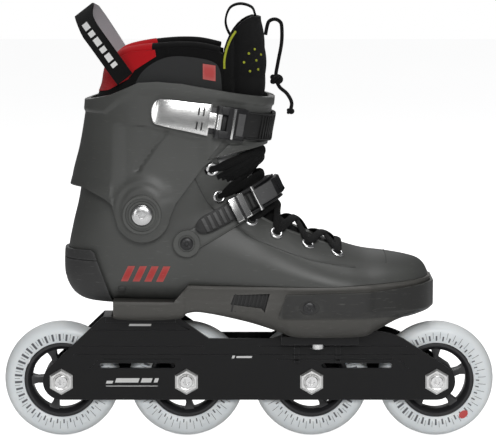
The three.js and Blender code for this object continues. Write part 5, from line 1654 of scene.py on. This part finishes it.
def across(low, high, radius):
    """A round bar along the axis of the cuff lever."""
    line = axis_mid + np.linspace(low, high, 6)[:, None] * axis_wide
    return rope(line, (radius, radius), up=axis_out, sides=24)


base_parts = [
    cuff_band(-1.5, -0.93, 20, 0.8, 2.0, -10, 10),
    cuff_band(-1.18, -0.93, 12, 0.8, mix(8.0, 6.4), -12.2, 12.2, 0.8),
    cuff_band(-1.27, -1.16, 4, 2.3, 7.6, 6.1, 12.2), cuff_band(-1.27, -1.16, 4, 2.3, 7.6, -12.2, -6.1),
    across(6.1, 12.2, 2.7), across(-12.2, -6.1, 2.7),
]
buckle_ridge = cuff_band(-1.12, -1.095, 2, 7.0, 8.6, -11.6, 11.6, 0.4)
buckle_panel = cuff_band(-1.06, -0.96, 4, 6.0, mix(8.0, 7.2), -8.5, 8.5, 0.3)
fit(solid("cuff_buckle_base_fine", *together(base_parts)), buckle_black, "cuff",
    ["cuff_buckle_base"])
fit(solid("buckle_ridge", *buckle_ridge), chrome, "cuff")
fit(solid("buckle_panel", *buckle_panel), panel_grey, "cuff")


def lever_half(t):
    """Half width of the lever: a rounded rear end that widens towards the hinge."""
    taper = 9.4 + 2.8 * t
    return taper * np.sqrt(np.clip(1 - np.clip(1 - t / 0.16, 0, 1) ** 2.2, 0.03, 1))


def lever_rise(t):
    """The lever's top, which swells in the middle."""
    return 3.9 + 0.9 * np.sin(np.clip(t, 0, 1) * math.pi) ** 0.7


lever_parts = [
    strip(cuff_path(-1.805, -1.36, 60), 2.3, lever_rise, lambda t: -lever_half(t), lever_half, 0.6),
    cuff_band(-1.37, -1.27, 4, 2.3, 4.0, -5.8, 5.8), across(-5.8, 5.8, 2.7),
]
for k in range(14):
    start = -1.70 + 0.024 * k
    for side in (-1, 1):
        edge = sorted((side * 8.6, side * 9.7))
        lever_parts.append(cuff_band(start, start + 0.012, 2, 4.0, 5.0, *edge, 0.3))
fit(solid("cuff_lever_fine", *together(lever_parts)), chrome, "cuff_lever", ["cuff_lever"])
slits = []
for low, high in ((-8.5, -2.5), (2.5, 8.5)):
    for start in (-1.47, -1.43):
        slits.append(cuff_band(start, start + 0.012, 2, 3.6, 4.75, low, high, 0.1))
fit(solid("cuff_lever_slits", *together(slits)), vent_dark, "cuff_lever")
fit(solid("cuff_lever_pin_fine", *across(-11.6, 11.6, 1.3)), bright_steel, "cuff",
    ["cuff_lever_pin"])

strap = [cuff_band(-0.91, 1.42, 90, 1.0, STRAP_FACE, -STRAP_HALF, STRAP_HALF, 0.7)]
for start in np.arange(-0.62, 0.15, RIB_STEP):
    strap.append(cuff_band(start, start + RIB_STEP / 2, 3, 3.2, 4.0, -9.2, 9.2, 0.3))
for low in (-10.3, 8.9):
    strap.append(cuff_band(-0.88, 1.38, 90, 3.2, 3.9, low, low + 1.4, 0.3))
fit(solid("cuff_strap_fine", *together(strap)), strap_black, "cuff_strap", ["cuff_strap"])
anchor = cuff_band(1.44, 1.7, 14, 0.5, STRAP_FACE, -STRAP_HALF, STRAP_HALF, 0.7)
fit(solid("cuff_strap_anchor_fine", *anchor), strap_black, "cuff", ["cuff_strap_anchor"])
stud_at, stud_out, stud_wide = (part[0] for part in cuff_path(1.52, 1.62, 1))
stud = turned([(0.01, -0.5), (3.2, -0.5), (3.2, 0.4), (2.2, 1.1), (0.01, 1.3)], 28)
studs = []
for across_by in (-5, 5):
    studs.append(placed(stud, upright([stud_at + stud_out * 3.3 + stud_wide * across_by], [stud_out])[0]))
fit(solid("strap_rivets", *together(studs)), steel, "cuff")

# ---- Laces ----
# Flat black laces cross between fourteen silver eyelets. They are worked loose and a little
# puffy, and the last turns lie in a thick bundle under the cuff.
EYELETS = [(5.85, 0.62), (6.95, 0.69), (8.5, 0.82), (10.1, 0.89), (11.45, 0.89), (12.75, 0.97), (15.1, 1.08)]
BUNDLE = [(15.1, 14.7, 1.08, 1.6), (14.3, 15, 0.92, 2.6), (14, 13.8, 0.86, 1.2), (13.7, 14.2, 0.8, 1.5)]
UNDER_STRAP = 12
lace_black = cloth("lace_black", (0.017, 0.017, 0.018), (0.004, 0.004, 0.004), 1300.0, 0.8)


def lace(start, end, base, arch, wide, thick, sway=0.0):
    """A flat lace between two places on the shell, lifted in its middle."""
    t = np.linspace(-0.04, 1.04, 36)
    u = start[0] + (end[0] - start[0]) * t + sway * np.sin(t * math.pi * 2)
    turn = start[1] + (end[1] - start[1]) * t
    out = facing(SHELL, u, turn + 1e-4)
    lift = base + arch * np.sin(np.clip(t, 0, 1) * math.pi) - 1.6 * (np.abs(2 * t - 1) > 1)
    points = on_boot(SHELL, u, turn) + out * lift[:, None]
    narrow = 1 - 0.45 * np.clip(np.abs(2 * t - 1) - 0.85, 0, 0.15) / 0.15
    return rope(points, (wide * narrow, thick * narrow), up=out, sides=14)


strands = [lace((5.85, -0.62), (5.85, 0.62), 1.0, 0.8, 3.0, 1.0)]
for (u0, turn0), (u1, turn1) in zip(EYELETS, EYELETS[1:]):
    strands.append(lace((u0, -turn0), (u1, turn1), 1.0, 0.5, 3.2, 1.1, 0.03))
    arch = 1.9 if u1 < UNDER_STRAP else 1.1
    strands.append(lace((u1, -turn1), (u0, turn0), 1.0, arch, 3.2, 1.1, -0.03))
for u0, u1, start, arch in BUNDLE:
    strands.append(lace((u0, -start), (u1, start), 1.8, arch, 3.6, 2.4, 0.05))
fit(solid("shell_laces_fine", *together(strands)), lace_black, "skate", ["shell_laces"])
ring_turn = np.linspace(0, 2 * math.pi, 14, endpoint=False)
ring_profile = [(3.9 + 1.35 * math.cos(a), 0.9 * math.sin(a)) for a in ring_turn]
rings = []
for u, turn in EYELETS:
    for side in (-1, 1):
        at, out = on_boot(SHELL, u, side * turn), facing(SHELL, np.array([u]), np.array([side * turn]))[0]
        rings.append(placed(turned(ring_profile, 36), upright([at + out * 0.5], [out])[0]))
fit(solid("eyelets", *together(rings)), bright_steel, "skate")

low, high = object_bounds()
